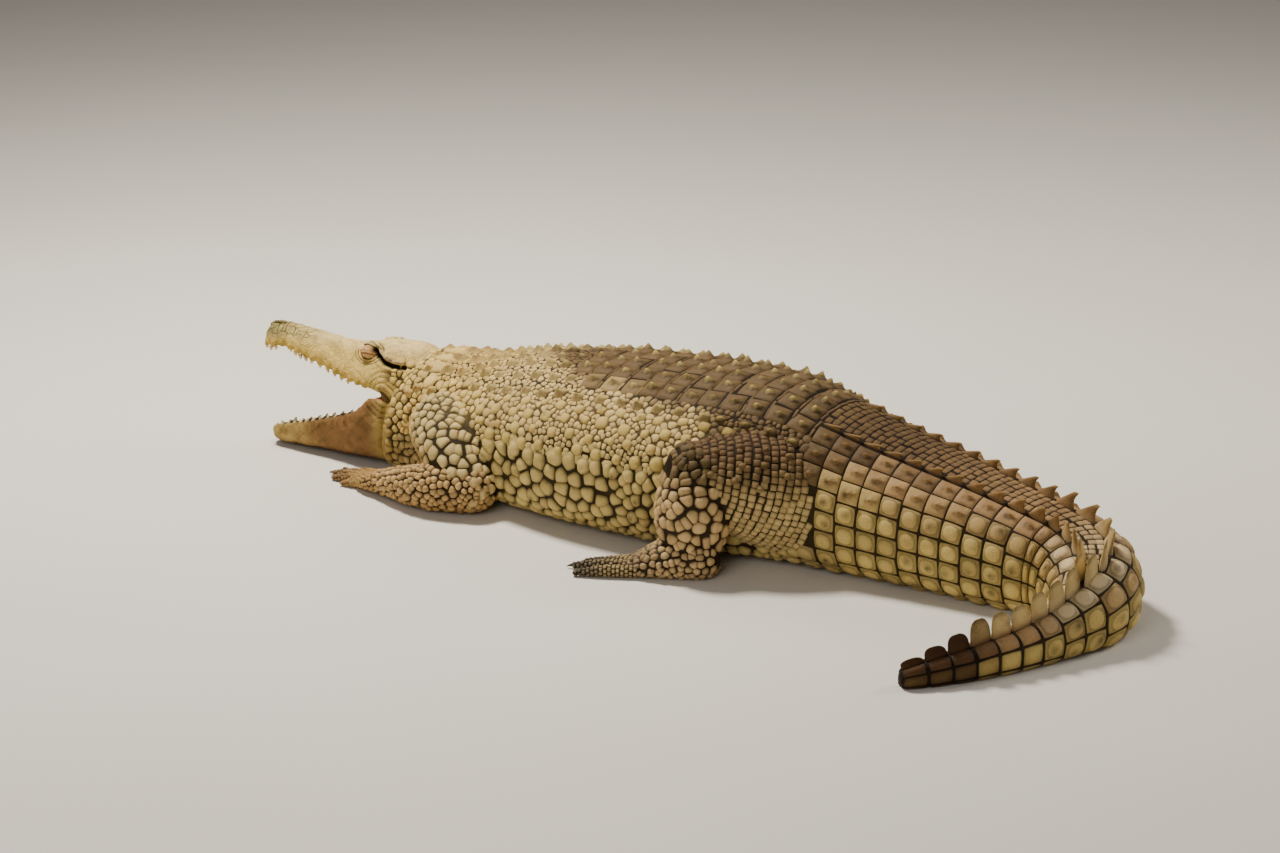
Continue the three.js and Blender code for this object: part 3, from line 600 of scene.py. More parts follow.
class Shape:
    """A scale's form by levels from its middle to its rim: (level, height, shade, roundness of its plan)."""

    def __init__(self, levels, keel=0.0, keel_at=0.0, keel_long=0.42, ridge=0.35, side_shade=0.0):
        level, height, shade, round_ = np.array(levels, float).T
        line = np.concatenate([-level[:0:-1], level])
        p, q = (v.ravel() for v in np.meshgrid(line, line, indexing="ij"))
        self.level = np.maximum(np.abs(p), np.abs(q))
        full = np.where(self.level > 0, self.level, 1)
        bend = np.interp(self.level, level, round_)
        self.p = p * np.sqrt(1 - bend * (q / full) ** 2 / 2)
        self.q = q * np.sqrt(1 - bend * (p / full) ** 2 / 2)
        self.height = np.interp(self.level, level, height)
        self.shade = np.interp(self.level, level, shade)
        self.shade += side_shade * (1 - self.shade) * (np.abs(q) > np.abs(p))
        crest = np.exp(-((self.q / ridge) ** 2) - ((self.p - keel_at) / keel_long) ** 2)
        crest = crest * (1 - self.level ** 4)
        self.height = self.height + keel * crest
        self.crest = crest * (keel > 0)
        n = len(line)
        grid = np.arange(n * n).reshape(n, n)
        self.faces = np.stack([grid[:-1, :-1], grid[1:, :-1], grid[1:, 1:], grid[:-1, 1:]], -1).reshape(-1, 4)
        self.count = n * n


STAIN = linear((52, 50, 46))
ROUND_BEAD = Shape(((0, 1.0, 1.05, 1), (0.64, 0.78, 0.98, 0.9), (1.0, -0.55, 0.14, 0.6)))
DOME = Shape(((0, 1.0, 1.05, 1), (0.44, 0.90, 1.02, 0.95), (0.74, 0.56, 0.92, 0.8), (0.88, 0.22, 0.50, 0.6),
    (1.0, -0.40, 0.10, 0.45)))
OVAL = Shape(((0, 1.0, 1.04, 1), (0.36, 0.94, 1.03, 1), (0.64, 0.72, 0.98, 1), (0.78, 0.36, 0.70, 0.85),
    (0.89, 0.18, 0.46, 0.65), (1.0, -0.30, 0.10, 0.45)))
SQUARE = Shape(((0, 1.0, 1.05, 1), (0.45, 0.80, 1.0, 0.8), (0.80, 0.46, 0.80, 0.3), (1.0, -0.45, 0.14, 0.15)))
SQUARE_OVAL = Shape(((0, 1.0, 1.04, 1), (0.40, 0.95, 1.03, 1), (0.66, 0.72, 0.98, 0.95),
    (0.77, 0.34, 0.50, 0.85), (0.90, 0.26, 0.70, 0.4), (1.0, -0.30, 0.10, 0.12)))
BEAD = Shape(((0, 1.0, 1.06, 1), (0.46, 0.88, 1.02, 1), (0.78, 0.50, 0.84, 1), (1.0, -0.45, 0.08, 0.85)))
CHIP = Shape(((0, 1.0, 1.05, 0.4), (0.74, 0.75, 0.95, 0.4), (1.0, -0.5, 0.22, 0.25)))
PLATE = Shape(((0, 0.8, 1.0, 0.3), (0.5, 0.8, 1.0, 0.3), (0.86, 0.5, 0.86, 0.3), (1.0, -0.45, 0.22, 0.2)))
STRIP = Shape(((0, 0.9, 1.0, 0), (0.9, 0.5, 0.9, 0), (1.0, -0.45, 0.35, 0.0)))
KNOBBED = Shape(((0, 0.20, 1.0, 1), (0.16, 0.20, 1.0, 1), (0.34, 0.19, 0.92, 1), (0.58, 0.17, 0.98, 0.6),
    (0.92, 0.13, 0.92, 0.1), (1.0, -0.12, 0.40, 0.0)),
    keel=1.0, keel_at=0.12, keel_long=0.40, ridge=0.20, side_shade=0.72)
KEELED = Shape(((0, 0.40, 1.0, 1), (0.24, 0.38, 1.0, 1), (0.5, 0.34, 0.96, 0.7), (0.84, 0.22, 0.82, 0.4),
    (1.0, -0.28, 0.20, 0.25)), keel=0.75, keel_at=0.05, keel_long=0.62, ridge=0.42)


def fitted(shape, near, axis, side):
    """A shape's plan spread over the cell that neighbouring scales leave it."""
    p, q = (near * axis[:, None]).sum(2), (near * side[:, None]).sum(2)
    size = p * p + q * q + 1e-9
    turn = np.arctan2(shape.q, shape.p)
    cos, sin = np.cos(turn), np.sin(turn)
    wall = np.maximum(0, 2 * (p[..., None] * cos + q[..., None] * sin) / size[..., None])
    reach = (wall ** 9).sum(1) ** (-1 / 9)
    reach = np.minimum(reach, 0.62 * np.sort(np.sqrt(size), axis=1)[:, :5].mean(1, keepdims=True)) * 1.01
    return reach * cos * shape.level, reach * sin * shape.level


BAKE_DOT = 0.0014             # half the size that a scale takes on the plane that finishes are baked on
CLING_REACH = 0.012           # a scale's points are drawn onto the hide when it is this near


class Coat:
    """Gathers scales laid on surfaces into one mesh."""

    def __init__(self, name):
        self.name = name
        self.parts, self.faces, self.tones, self.maps = [], [], [], []
        self.total = 0

    @staticmethod
    def owns(surface, place):
        """Whether a place on the hide belongs to this surface rather than to one that meets it."""
        own = surface.tree.find_nearest(place)[3]
        if own < 0.0012:
            own -= 0.001
        for other in REGIONS.values():
            if (other.group != surface.group and np.all(np.array(place) > other.low)
                    and np.all(np.array(place) < other.high)):
                if other.tree.find_nearest(place)[3] < own:
                    return False
        return True

    def seat(self, surface, root, out, limit):
        """Which scales land on the hide within a limit, how far off it is, and how it faces there."""
        keep, shift, facings = np.zeros(len(root), bool), np.zeros(len(root)), out.copy()
        for i, (point, normal) in enumerate(zip(root, out)):
            place, facing, _, distance = MADE["tree"].find_nearest(Vector(point))
            shift[i] = (np.array(place) - point) @ normal
            facings[i] = facing
            keep[i] = distance < limit and np.dot(facing, normal) > 0.3 and self.owns(surface, place)
        return keep, shift, facings

    @staticmethod
    def settle(base, up):
        """Draws points onto the hide where it is near, and gives the way up at each."""
        flat = base.reshape(-1, 3)
        normal = np.repeat(up, base.shape[1], axis=0)
        for i in range(len(flat)):
            place, facing, _, distance = MADE["tree"].find_nearest(Vector(flat[i]))
            if distance < CLING_REACH:
                flat[i] = place
                normal[i] += np.array(facing) * 0.6
        normal = normal.reshape(base.shape)
        return normal / np.linalg.norm(normal, axis=-1, keepdims=True)

    @staticmethod
    def shaded(shape, tone, dark, tip):
        """The colours of scales over their form, with stains and worn tips."""
        tones = tone[:, None, :] * shape.shade[None, :, None]
        if dark is not None:
            off = GRAIN.uniform(-0.3, 0.3, (2, len(tone), 1))
            stain = np.exp(-((shape.p - off[0]) ** 2 + (shape.q - off[1]) ** 2) / 0.15) * dark[:, None]
            tones = tones * (1 - stain[..., None]) + STAIN * stain[..., None]
        if tip is not None:
            worn = np.clip(shape.crest * 1.5 - 0.35, 0, 1)[None, :, None]
            ring = np.exp(-((shape.crest - 0.22) / 0.14) ** 2)[None, :, None] * 0.45
            tones = tones * (1 - worn) * (1 - ring) + (linear(tip) if isinstance(tip, tuple) else tip) * worn
        return tones

    def lay(self, surface, shape, s, f, room, rise, tone, turn=0.0, tilt=0.0, limit=0.02, cling=True,
            dark=None, tip=None):
        """Lays scales of one shape at places (s, f) of a surface; clinging ones follow the hide's own folds.
        Their room is a length and a width or, where scales fill their cells, an axis and the neighbours."""
        fit = np.ndim(room[1]) == 3
        length, width = (1.0, 1.0) if fit else room
        s, f, length, width, rise, turn, tilt = (
            np.array(np.broadcast_to(v, np.shape(s)), float) for v in (s, f, length, width, rise, turn, tilt))
        tone = np.array(np.broadcast_to(tone, (len(s), 3)), float)
        dark = None if dark is None else np.broadcast_to(dark, len(s))
        root, out, girth = surface.at(s, f)
        keep, shift, facings = self.seat(surface, root, out, limit)
        if not keep.any():
            return
        axis = room[0] if fit else surface.at(s + 0.003, f)[0] - surface.at(s - 0.003, f)[0]
        s, f, length, width, rise, turn, tilt, tone, root, out, girth, shift, facings, axis = (
            v[keep] for v in (
                s, f, length, width, rise, turn, tilt, tone, root, out, girth, shift, facings, axis))
        cos, sin = np.cos(turn)[:, None], np.sin(turn)[:, None]
        dp, dq = shape.p * length[:, None] / 2, shape.q * width[:, None] / 2
        along, across = dp * cos - dq * sin, dp * sin + dq * cos
        if cling:
            up = out * 0.35 + facings * 0.65
            up /= np.linalg.norm(up, axis=1, keepdims=True)
            axis = axis - (axis * up).sum(1, keepdims=True) * up
            axis /= np.linalg.norm(axis, axis=1, keepdims=True) + 1e-12
            side = np.cross(up, axis)
            if fit:
                along, across = fitted(shape, room[1][keep], axis, side)
            base = ((root + out * shift[:, None])[:, None] + along[..., None] * axis[:, None]
                    + across[..., None] * side[:, None])
            normal = self.settle(base, up)
        else:
            base, normal, _ = surface.at(s[:, None] + along, f[:, None] + across / girth[:, None])
            base = base + out[:, None, :] * shift[:, None, None]
        height = shape.height * rise[:, None] + tilt[:, None] * (shape.p + 1) / 2 * (1 - shape.level ** 3)
        points = base + normal * height[..., None]
        points[..., 2] = np.maximum(points[..., 2], 0.0)
        tones = self.shaded(shape, tone, dark if dark is None else dark[keep], tip)
        left, right, low, high = surface.patch
        u = left + (right - left) * (s - surface.run[0]) / (surface.run[-1] - surface.run[0])
        v = low + (high - low) * (np.mod(f + 1, 2) / 2)
        uv = np.stack([u[:, None] + shape.p * BAKE_DOT, v[:, None] + shape.q * BAKE_DOT], -1)
        faces = shape.faces[:, ::-1] if surface.flipped and not cling else shape.faces
        faces = faces[None] + (np.arange(len(s)) * shape.count)[:, None, None]
        self.add(points.reshape(-1, 3), faces.reshape(-1, 4), tones.reshape(-1, 3), uv.reshape(-1, 2))

    def add(self, points, faces, tones, uv):
        """Adds ready mesh; its faces count from its own first point."""
        self.parts.append(points)
        self.faces.append(np.asarray(faces) + self.total)
        self.tones.append(tones)
        self.maps.append(uv)
        self.total += len(points)

    def build(self, slot):
        points, faces = np.vstack(self.parts), np.vstack(self.faces)
        tones, uv = np.vstack(self.tones), np.vstack(self.maps)
        data = bpy.data.meshes.new(self.name)
        data.vertices.add(len(points))
        data.vertices.foreach_set("co", points.ravel())
        data.loops.add(faces.size)
        data.polygons.add(len(faces))
        data.polygons.foreach_set("loop_start", np.arange(0, faces.size, 4))
        data.loops.foreach_set("vertex_index", faces.ravel())
        data.update(calc_edges=True)
        data.validate()
        layer = data.uv_layers.new(name="OFBake")
        layer.data.foreach_set("uv", uv[faces.ravel()].astype(np.float32).ravel())
        paint(data, np.clip(tones, 0, 1))
        obj = link(bpy.data.objects.new(self.name, data))
        finish_piece(obj, MADE["scale"])


# ---- finishes ---------------------------------------------------------------------

class Value:
    """A number that varies over a surface; Python's operators add Math nodes to it."""

    def __init__(self, finish, socket):
        self.finish, self.socket = finish, socket

    def _math(self, operation, *values):
        return Value(self.finish, self.finish.node("ShaderNodeMath", {"operation": operation},
            *values).outputs[0])

    def __add__(self, other):
        return self._math("ADD", self, other)

    def __mul__(self, other):
        return self._math("MULTIPLY", self, other)

    def __rsub__(self, other):
        return self._math("SUBTRACT", other, self)

    __radd__, __rmul__ = __add__, __mul__

    def step(self, low, high):
        """0 below low, 1 above high, smooth between."""
        return Value(self.finish, self.finish.node("ShaderNodeMapRange",
            {"interpolation_type": "SMOOTHSTEP"}, self, low, high, 0.0, 1.0).outputs[0])


class Finish:
    """One procedural material."""

    def __init__(self, name):
        self.material = bpy.data.materials.new(name)
        self.material.use_nodes = True
        self.tree = self.material.node_tree
        self.tree.nodes.clear()
        self.shader = self.tree.nodes.new("ShaderNodeBsdfPrincipled")
        output = self.tree.nodes.new("ShaderNodeOutputMaterial")
        self.tree.links.new(self.shader.outputs[0], output.inputs[0])
        self.place = self.node("ShaderNodeTexCoord", {}).outputs["Object"]

    def node(self, kind, settings, *values, **named):
        """Adds a node: its settings first, then its inputs by order or by name."""
        made = self.tree.nodes.new(kind)
        for key, value in settings.items():
            setattr(made, key, value)
        for socket, value in [*zip(made.inputs, values),
                *((made.inputs[key.replace("_", " ")], value) for key, value in named.items())]:
            self.feed(socket, value)
        return made

    def feed(self, socket, value):
        if isinstance(value, Value):
            value = value.socket
        if isinstance(value, bpy.types.NodeSocket):
            self.tree.links.new(value, socket)
        elif socket.type == "RGBA" and len(value) == 3:
            socket.default_value = (*value, 1.0)
        else:
            socket.default_value = value

    def noise(self, scale, detail, roughness=0.55):
        made = self.node("ShaderNodeTexNoise", {}, Vector=self.place, Scale=scale, Detail=detail,
            Roughness=roughness)
        return Value(self, made.outputs[0])

    def cracks(self, scale, width, at):
        """1 along the edges of irregular cells, 0 inside them."""
        made = self.node("ShaderNodeTexVoronoi", {"feature": "DISTANCE_TO_EDGE"}, Vector=at, Scale=scale,
            Randomness=1.0)
        return 1 - Value(self, made.outputs[0]).step(0.0, width)

    def cells(self, scale):
        """Distance from the middle of irregular cells."""
        made = self.node("ShaderNodeTexVoronoi", {"feature": "F1"}, Vector=self.place, Scale=scale,
            Randomness=0.9)
        return Value(self, made.outputs[0])

    def warped(self, scale, amount):
        """The object's coordinates, bent by noise."""
        shift = self.node("ShaderNodeTexNoise", {}, Vector=self.place, Scale=scale, Detail=2.0).outputs[1]
        centred = self.node("ShaderNodeVectorMath", {"operation": "SUBTRACT"}, shift,
            (0.5, 0.5, 0.5)).outputs[0]
        small = self.node("ShaderNodeVectorMath", {"operation": "MULTIPLY"}, centred,
            (amount,) * 3).outputs[0]
        return self.node("ShaderNodeVectorMath", {"operation": "ADD"}, self.place, small).outputs[0]

    def attribute(self, name):
        return self.node("ShaderNodeAttribute", {"attribute_name": name}).outputs

    def blend(self, first, second, share, way="MIX"):
        made = self.tree.nodes.new("ShaderNodeMix")
        made.data_type, made.blend_type = "RGBA", way
        for socket, value in zip((made.inputs[0], made.inputs[6], made.inputs[7]), (share, first, second)):
            self.feed(socket, value)
        return made.outputs[2]

    def set(self, **values):
        for key, value in values.items():
            self.feed(self.shader.inputs[key.replace("_", " ")], value)
        return self

    def relief(self, height, strength, distance, under=None):
        made = self.node("ShaderNodeBump", {}, Strength=strength, Distance=distance, Height=height)
        if under is not None:
            self.feed(made.inputs["Normal"], under)
        return made.outputs[0]


def hide_finish():
    """Bare hide: the painted tones, fine cracks where the head is dry and small grain between the scales."""
    f = Finish("hide")
    tone = f.attribute("tone")[0]
    dry = Value(f, f.attribute("dryness")[2])
    bent = f.warped(60.0, 0.01)
    wide = f.cracks(62.0, 0.085, bent)
    fine = f.cracks(150.0, 0.12, bent)
    mottle = f.noise(38.0, 5.0, 0.62)
    crack = (wide * 0.85 + fine * 0.45) * dry
    shaded = f.blend(tone, f.blend(tone, (0.16, 0.12, 0.08), 1.0, "MULTIPLY"), crack.step(0.0, 1.0) * 0.92)
    colour = f.blend(shaded, (0.6, 0.56, 0.5), (mottle.step(0.42, 0.66)) * 0.55, "MULTIPLY")
    pebble = f.cells(260.0)
    bumps = f.relief(pebble + mottle * 0.6, 0.55, 0.0014)
    f.set(Base_Color=colour, Roughness=0.62 + mottle * 0.18, Normal=f.relief(1 - crack, 0.9, 0.0022, bumps),
        Specular_IOR_Level=0.14)
    return f.material


def scale_finish():
    """Horny scales: the painted tones, worn and wrinkled."""
    f = Finish("scale_horn")
    tone = f.attribute("tone")[0]
    blotch = f.noise(24.0, 4.0, 0.6)
    grit = f.noise(420.0, 3.0, 0.6)
    colour = f.blend(tone, (0.52, 0.44, 0.34), blotch.step(0.5, 0.72) * 0.45, "MULTIPLY")
    colour = f.blend(colour, (0.34, 0.27, 0.2), grit.step(0.54, 0.7) * 0.55, "MULTIPLY")
    wrinkle = f.cracks(230.0, 0.16, f.warped(90.0, 0.006))
    f.set(Base_Color=colour, Roughness=0.52 + grit * 0.22,
          Normal=f.relief(grit * 0.5 + (1 - wrinkle) * 0.8 + blotch * 0.5, 0.45, 0.001),
          Specular_IOR_Level=0.22)
    return f.material


def tooth_finish():
    f = Finish("tooth")
    tone = f.attribute("tone")[0]
    streak = f.noise(300.0, 2.0)
    f.set(Base_Color=f.blend(tone, (0.72, 0.6, 0.4), streak.step(0.5, 0.75) * 0.5, "MULTIPLY"),
        Roughness=0.28 + streak * 0.15,
          Normal=f.relief(streak, 0.25, 0.0004))
    return f.material


def claw_finish():
    f = Finish("claw_horn")
    along = f.noise(260.0, 4.0, 0.7)
    f.set(Base_Color=f.blend(linear((70, 60, 48)), linear((128, 112, 88)), along.step(0.45, 0.7)),
        Roughness=0.42 + along * 0.2,
          Normal=f.relief(along, 0.4, 0.0006))
    return f.material


def tongue_finish():
    f = Finish("tongue_flesh")
    spot = f.noise(120.0, 4.0, 0.6)
    pore = f.cells(520.0)
    f.set(Base_Color=f.blend(linear((128, 116, 92)), linear((176, 150, 118)), spot.step(0.36, 0.62)),
        Roughness=0.45 + spot * 0.15,
          Normal=f.relief(pore + spot, 0.4, 0.0008))
    return f.material


def eye_finish():
    f = Finish("eyeball")
    mark = f.attribute("tone")[0]
    f.set(Base_Color=mark, Roughness=0.12, Coat_Weight=0.6)
    return f.material


def floor_finish(colour):
    f = Finish("studio_floor")
    cloud = f.noise(1.2, 2.0)
    grain = f.noise(90.0, 3.0)
    f.set(Base_Color=f.blend(colour, tuple(v * 0.93 for v in colour), cloud), Roughness=0.85,
        Normal=f.relief(grain, 0.06, 0.002))
    return f.material


# ---- markings, shared by the hide and its scales ----------------------------------

DORSAL, PALE, OLIVE = (112, 92, 66), (220, 198, 150), (210, 192, 140)
NECK_CREAM, TAIL_CREAM, BELLY = (224, 200, 142), (212, 192, 136), (206, 186, 140)
TIP_BROWN, BONE, KNOB, TAIL_TOP = (92, 66, 42), (230, 214, 180), (206, 190, 134), (188, 160, 124)
SADDLE = ((-0.30, 0.02), (-0.20, 0.07), (-0.05, 0.16), (0.15, 0.235), (0.32, 0.30), (0.42, 0.40),
    (0.50, 0.36), (0.62, 0.24), (0.85, 0.15), (1.0, 0.09), (1.15, 0.02))


def body_tone(u, f, points):
    side = np.abs(f)
    rough = waves(points, 0.16, 3) * 0.022 + waves(points, 0.045, 4) * 0.018
    edge = column(SADDLE, 1, u)
    dark = 1 - ease(side + rough * 1.3, edge - 0.05, edge + 0.045)
    dark = dark * (ease(u, -0.3, -0.12) - 0.55 * ease(u, 0.62, 0.95))
    colour = layered(
        PALE,
        (OLIVE, ease(side + rough, 0.36, 0.47) * (1 - ease(u, 0.44, 0.56))),
        (NECK_CREAM, 1 - ease(u, -0.34, -0.2)),
        (mixed(TAIL_TOP, TAIL_CREAM, ease(side + rough, 0.24, 0.46)), ease(u, 0.46, 0.6)),
        (BELLY, ease(side, 0.7, 0.8)),
        (BONE, ease(u, 0.98, 1.12) * (1 - ease(u, 1.26, 1.36)) * (1 - ease(side, 0.16, 0.34)) * 0.8),
        (DORSAL, dark * 0.93),
        (TIP_BROWN, ease(u + waves(points, 0.05, 8) * 0.012, 1.43, 1.475) * 0.92))
    return colour * (1 + 0.07 * waves(points, 0.09, 5))[:, None]


def pale_flank(co):
    """1 on the upper flank, whose skin between the scales is pale too."""
    body = REGIONS["body"]
    count = body.points.shape[1]
    line = np.concatenate([body.points[:, round((count - 1) * share / 2)] for share in (0.66, 1.34)])
    run = np.tile(body.run, 2)
    gap = np.full(len(co), 9.0)
    for place, u in zip(line, run):
        if -0.3 < u < 0.42:
            gap = np.minimum(gap, np.linalg.norm(co - place, axis=1))
    return 1 - ease(gap, 0.025, 0.075)


LIMB_TONES = {                # one colour, the other, and how far the first has passed into it
    "upper_arm": ((214, 196, 150), (198, 172, 126), lambda s, side, points: ease(side, 0.3, 0.8)),
    "forearm": ((204, 178, 136), (196, 166, 120), lambda s, side, points: ease(side, 0.4, 0.9)),
    "hand": ((188, 158, 114), (188, 158, 114), lambda s, side, points: np.zeros(len(s))),
    "hand_digit": ((182, 152, 110), (158, 138, 110), lambda s, side, points: ease(s, 0.03, 0.10)),
    "thigh": ((126, 104, 78), (208, 188, 144),
              lambda s, side, points: ease(0.26 - points[:, 2] + 0.01 * waves(points, 0.05, 9), 0.02, 0.13)),
    "shank": ((112, 98, 70), (206, 182, 142), lambda s, side, points: ease(0.215 - points[:, 2], 0.0, 0.055)),
    "foot": ((196, 174, 138), (150, 132, 106), lambda s, side, points: ease(s, 0.06, 0.14)),
    "foot_digit": ((178, 160, 126), (132, 122, 104), lambda s, side, points: ease(s, 0.04, 0.10)),
}


def limb_tone(name):
    """The markings of one limb length, by its name."""
    word = name.split("_")[0] + "_digit" if "digit" in name else name.rsplit("_", 1)[0]
    first, second, share = LIMB_TONES[word]

    def tone(s, f, points):
        colour = mixed(first, second, share(s, np.abs(f), points))
        return colour * (1 + 0.08 * waves(points, 0.04, 6))[:, None]
    return tone


def skin_regions():
    """Every region that scales are laid on: its surface and its markings."""
    phi = np.linspace(-math.pi, math.pi, 193)
    u = np.linspace(-0.34, TAIL_END, 240)
    rings = body_points(u, phi, coat_depth(u))
    regions = {"body": Surface(u, rings, body_tone)}
    a = np.linspace(0.086, 0.004, 14)
    u = np.linspace(NECK_FRONT, -0.3, 20)
    rings = np.concatenate([jowl_points(a, phi, 0.0025), body_points(u, phi, coat_depth(u))])
    regions["neck"] = Surface(np.concatenate([NECK_FRONT - a, u]), rings, body_tone)
    for name, (places, depth) in LIMBS.items():
        rings, run = limb_rings(places, 96, depth)
        closed = np.concatenate([rings, rings[:, :1]], axis=1)
        regions[name] = Surface(run, closed, limb_tone(name), name)
    return regions


HEAD_PATCH = (0.02, 0.30, 0.70, 0.98)


def head_region():
    """The head's rear half read from the hide itself, so that its scales follow the folds."""
    run, rings = np.linspace(-0.12, 0.03, 44), []
    phi = np.linspace(-math.pi, math.pi, 145)
    for a in -run:
        high = 0.125 + 0.07 * float(ease(a, 0.055, 0.085))
        middle = Vector(head_point(a, 0.0, high))
        ring = []
        for place in head_point(np.full(145, a), -np.sin(phi), high + np.cos(phi)):
            way = (Vector(place) - middle).normalized()
            hit = MADE["tree"].ray_cast(middle, way)[0]
            ring.append(tuple(hit if hit is not None else middle + way * 0.1))
        rings.append(ring)
    return Surface(run, np.array(rings), lambda s, f, points: head_tone(points)[0], even=False,
        patch=HEAD_PATCH)


def ear_distance(a, c, first=0):
    """Distance of places on the side of the head from the slit of the ear."""
    return path_distance(np.stack([a, c], -1), [(p[0], p[2]) for p in EAR_PATH[first:]])[0]


def scaled_cheek(a, c):
    """1 where the head's skin carries separate scales, 0 where it is bare and cracked."""
    ear = ear_distance(a, c)
    crown = ease(c, 0.214, 0.222) * ease(a, 0.02, 0.032)
    gape = ease(a, 0.062, 0.07) * ease(0.176 - c, 0.0, 0.006)
    return (1 - ease(a, 0.098, 0.11)) * (1 - crown) * (1 - gape) * ease(ear, 0.006, 0.009)


def mirrored(a, low, half, high):
    """A ring of the head at a, from its lowest point up one side to its highest and down the other."""
    ring = [(0, low), *half, (0, high), *[(-b, c) for b, c in half[::-1]]]
    return head_point(a, *np.array(ring).T)


def skull_ring(row):
    a, top, lip, wide, table = row
    height = top - lip
    low, high = wide + (table - wide) * 0.22, wide + (table - wide) * 0.66
    half = [(wide * 0.5, lip + PALATE_VAULT * 0.8), (wide * 0.96, lip), (wide, lip + height * 0.13),
            (low + 0.002, lip + height * 0.4), (high + 0.003, lip + height * 0.72),
            (table, top - height * 0.07),
            (table * 0.55, top)]
    return mirrored(a, lip + PALATE_VAULT, half, top + 0.001)


def mandible_ring(row):
    a, rim, keel, wide = row
    height = rim - keel
    half = [(wide * 0.62, keel), (wide * 0.93, keel + height * 0.2), (wide, keel + height * 0.5),
            (wide * 0.99, keel + height * 0.82), (wide * 0.96, rim), (wide * 0.5, rim)]
    return mirrored(a, keel, half, rim)


def trough_ring(row):
    """A ring of the space between the walls of the lower jaw, open above its rim."""
    a, rim, keel, wide = row
    depth = MOUTH_FLOOR * 0.35 if a > 0.39 else min(MOUTH_FLOOR, (rim - keel) * 0.5)
    wide -= JAW_WALL
    low = rim - depth
    height = rim + 0.04 - low
    half = [(wide * 0.6, low + 0.001), (wide * 0.9, low + 0.005), (wide * 0.96, low + 0.016),
            (wide * 0.97, low + height * 0.6), (wide * 0.9, low + height), (wide * 0.5, low + height)]
    return mirrored(a - 0.0033, low, half, low + height)


def egg(a, b, c, length, width, height):
    """An egg of the head's frame, as an object."""
    bm = bmesh.new()
    ball = bmesh.ops.create_uvsphere(bm, u_segments=24, v_segments=16, radius=1.0)["verts"]
    unit = np.array([v.co for v in ball])
    for vert, place in zip(ball, head_point(a + unit[:, 0] * length, b + unit[:, 1] * width,
            c + unit[:, 2] * height)):
        vert.co = place
    return object_from("egg", bm)


def loft_object(name, rings, levels=0):
    bm = bmesh.new()
    add_loft(bm, rings)
    obj = object_from(name, bm)
    return subdivided(obj, levels) if levels else obj


def lower_jaw_object():
    shell = loft_object("jaw", [mandible_ring(row) for row in MANDIBLE], 2)
    trough = loft_object("trough", [trough_ring(row) for row in MANDIBLE if 0.09 < row[0] < 0.395], 2)
    applied(with_modifier(shell, "BOOLEAN", operation="DIFFERENCE", object=trough, solver="EXACT"))
    bpy.data.objects.remove(trough)
    return shell


def path_distance(points, path):
    """Distance from points to a line of points, and how far along it the nearest place is, 0 to 1."""
    best, where = np.full(len(points), 9.0), np.zeros(len(points))
    path = np.asarray(path, float)
    for i in range(len(path) - 1):
        edge = path[i + 1] - path[i]
        t = np.clip((points - path[i]) @ edge / max(edge @ edge, 1e-12), 0, 1)
        d = np.linalg.norm(points - (path[i] + t[:, None] * edge), axis=1)
        near = d < best
        best[near], where[near] = d[near], (i + t[near]) / (len(path) - 1)
    return best, where


def bell(x, width):
    return np.exp(-((x / width) ** 2))


NOSTRIL_SLIT = ((0.412, 0.0085, 0.2525), (0.405, 0.0120, 0.2525), (0.397, 0.0136, 0.2532),
    (0.389, 0.0122, 0.2540), (0.383, 0.0085, 0.2548))
FOLD_PITCH = 0.0105           # the folds round the corner of the mouth
GAPE = ((0.086, 0.142), (0.100, 0.150))          # the corner of the mouth, as a and c


def head_fields(co):
    """Distances and shares on the head that its folds and its colours are made from."""
    a, b, c = head_place(co)
    bb = np.abs(b)
    spot = np.stack([a, bb, c], -1)
    lip, rim = column(SKULL, 2, a), column(MANDIBLE, 1, a)
    around = np.hypot((a - EYE[0]) / 1.28, (c - EYE[2]) / 0.86)
    near_eye = ease(bb, 0.036, 0.044) * ease(0.05 - around, 0.0, 0.012)
    ear = ear_distance(a, c)
    slit, _ = path_distance(spot, NOSTRIL_SLIT)
    corner, _ = path_distance(np.stack([a, c], -1), GAPE)
    split = c - EYE[2] + 0.0016 + 14.0 * (a - EYE[0]) ** 2      # height over the line where the lids meet
    return SimpleNamespace(a=a, c=c, bb=bb, lip=lip, rim=rim, around=around, near_eye=near_eye, split=split,
        ear=ear, slit=slit,
                corner=corner, upper=ease(c - (lip + rim) / 2, -0.004, 0.004), on=ease(a, 0.0, 0.02))


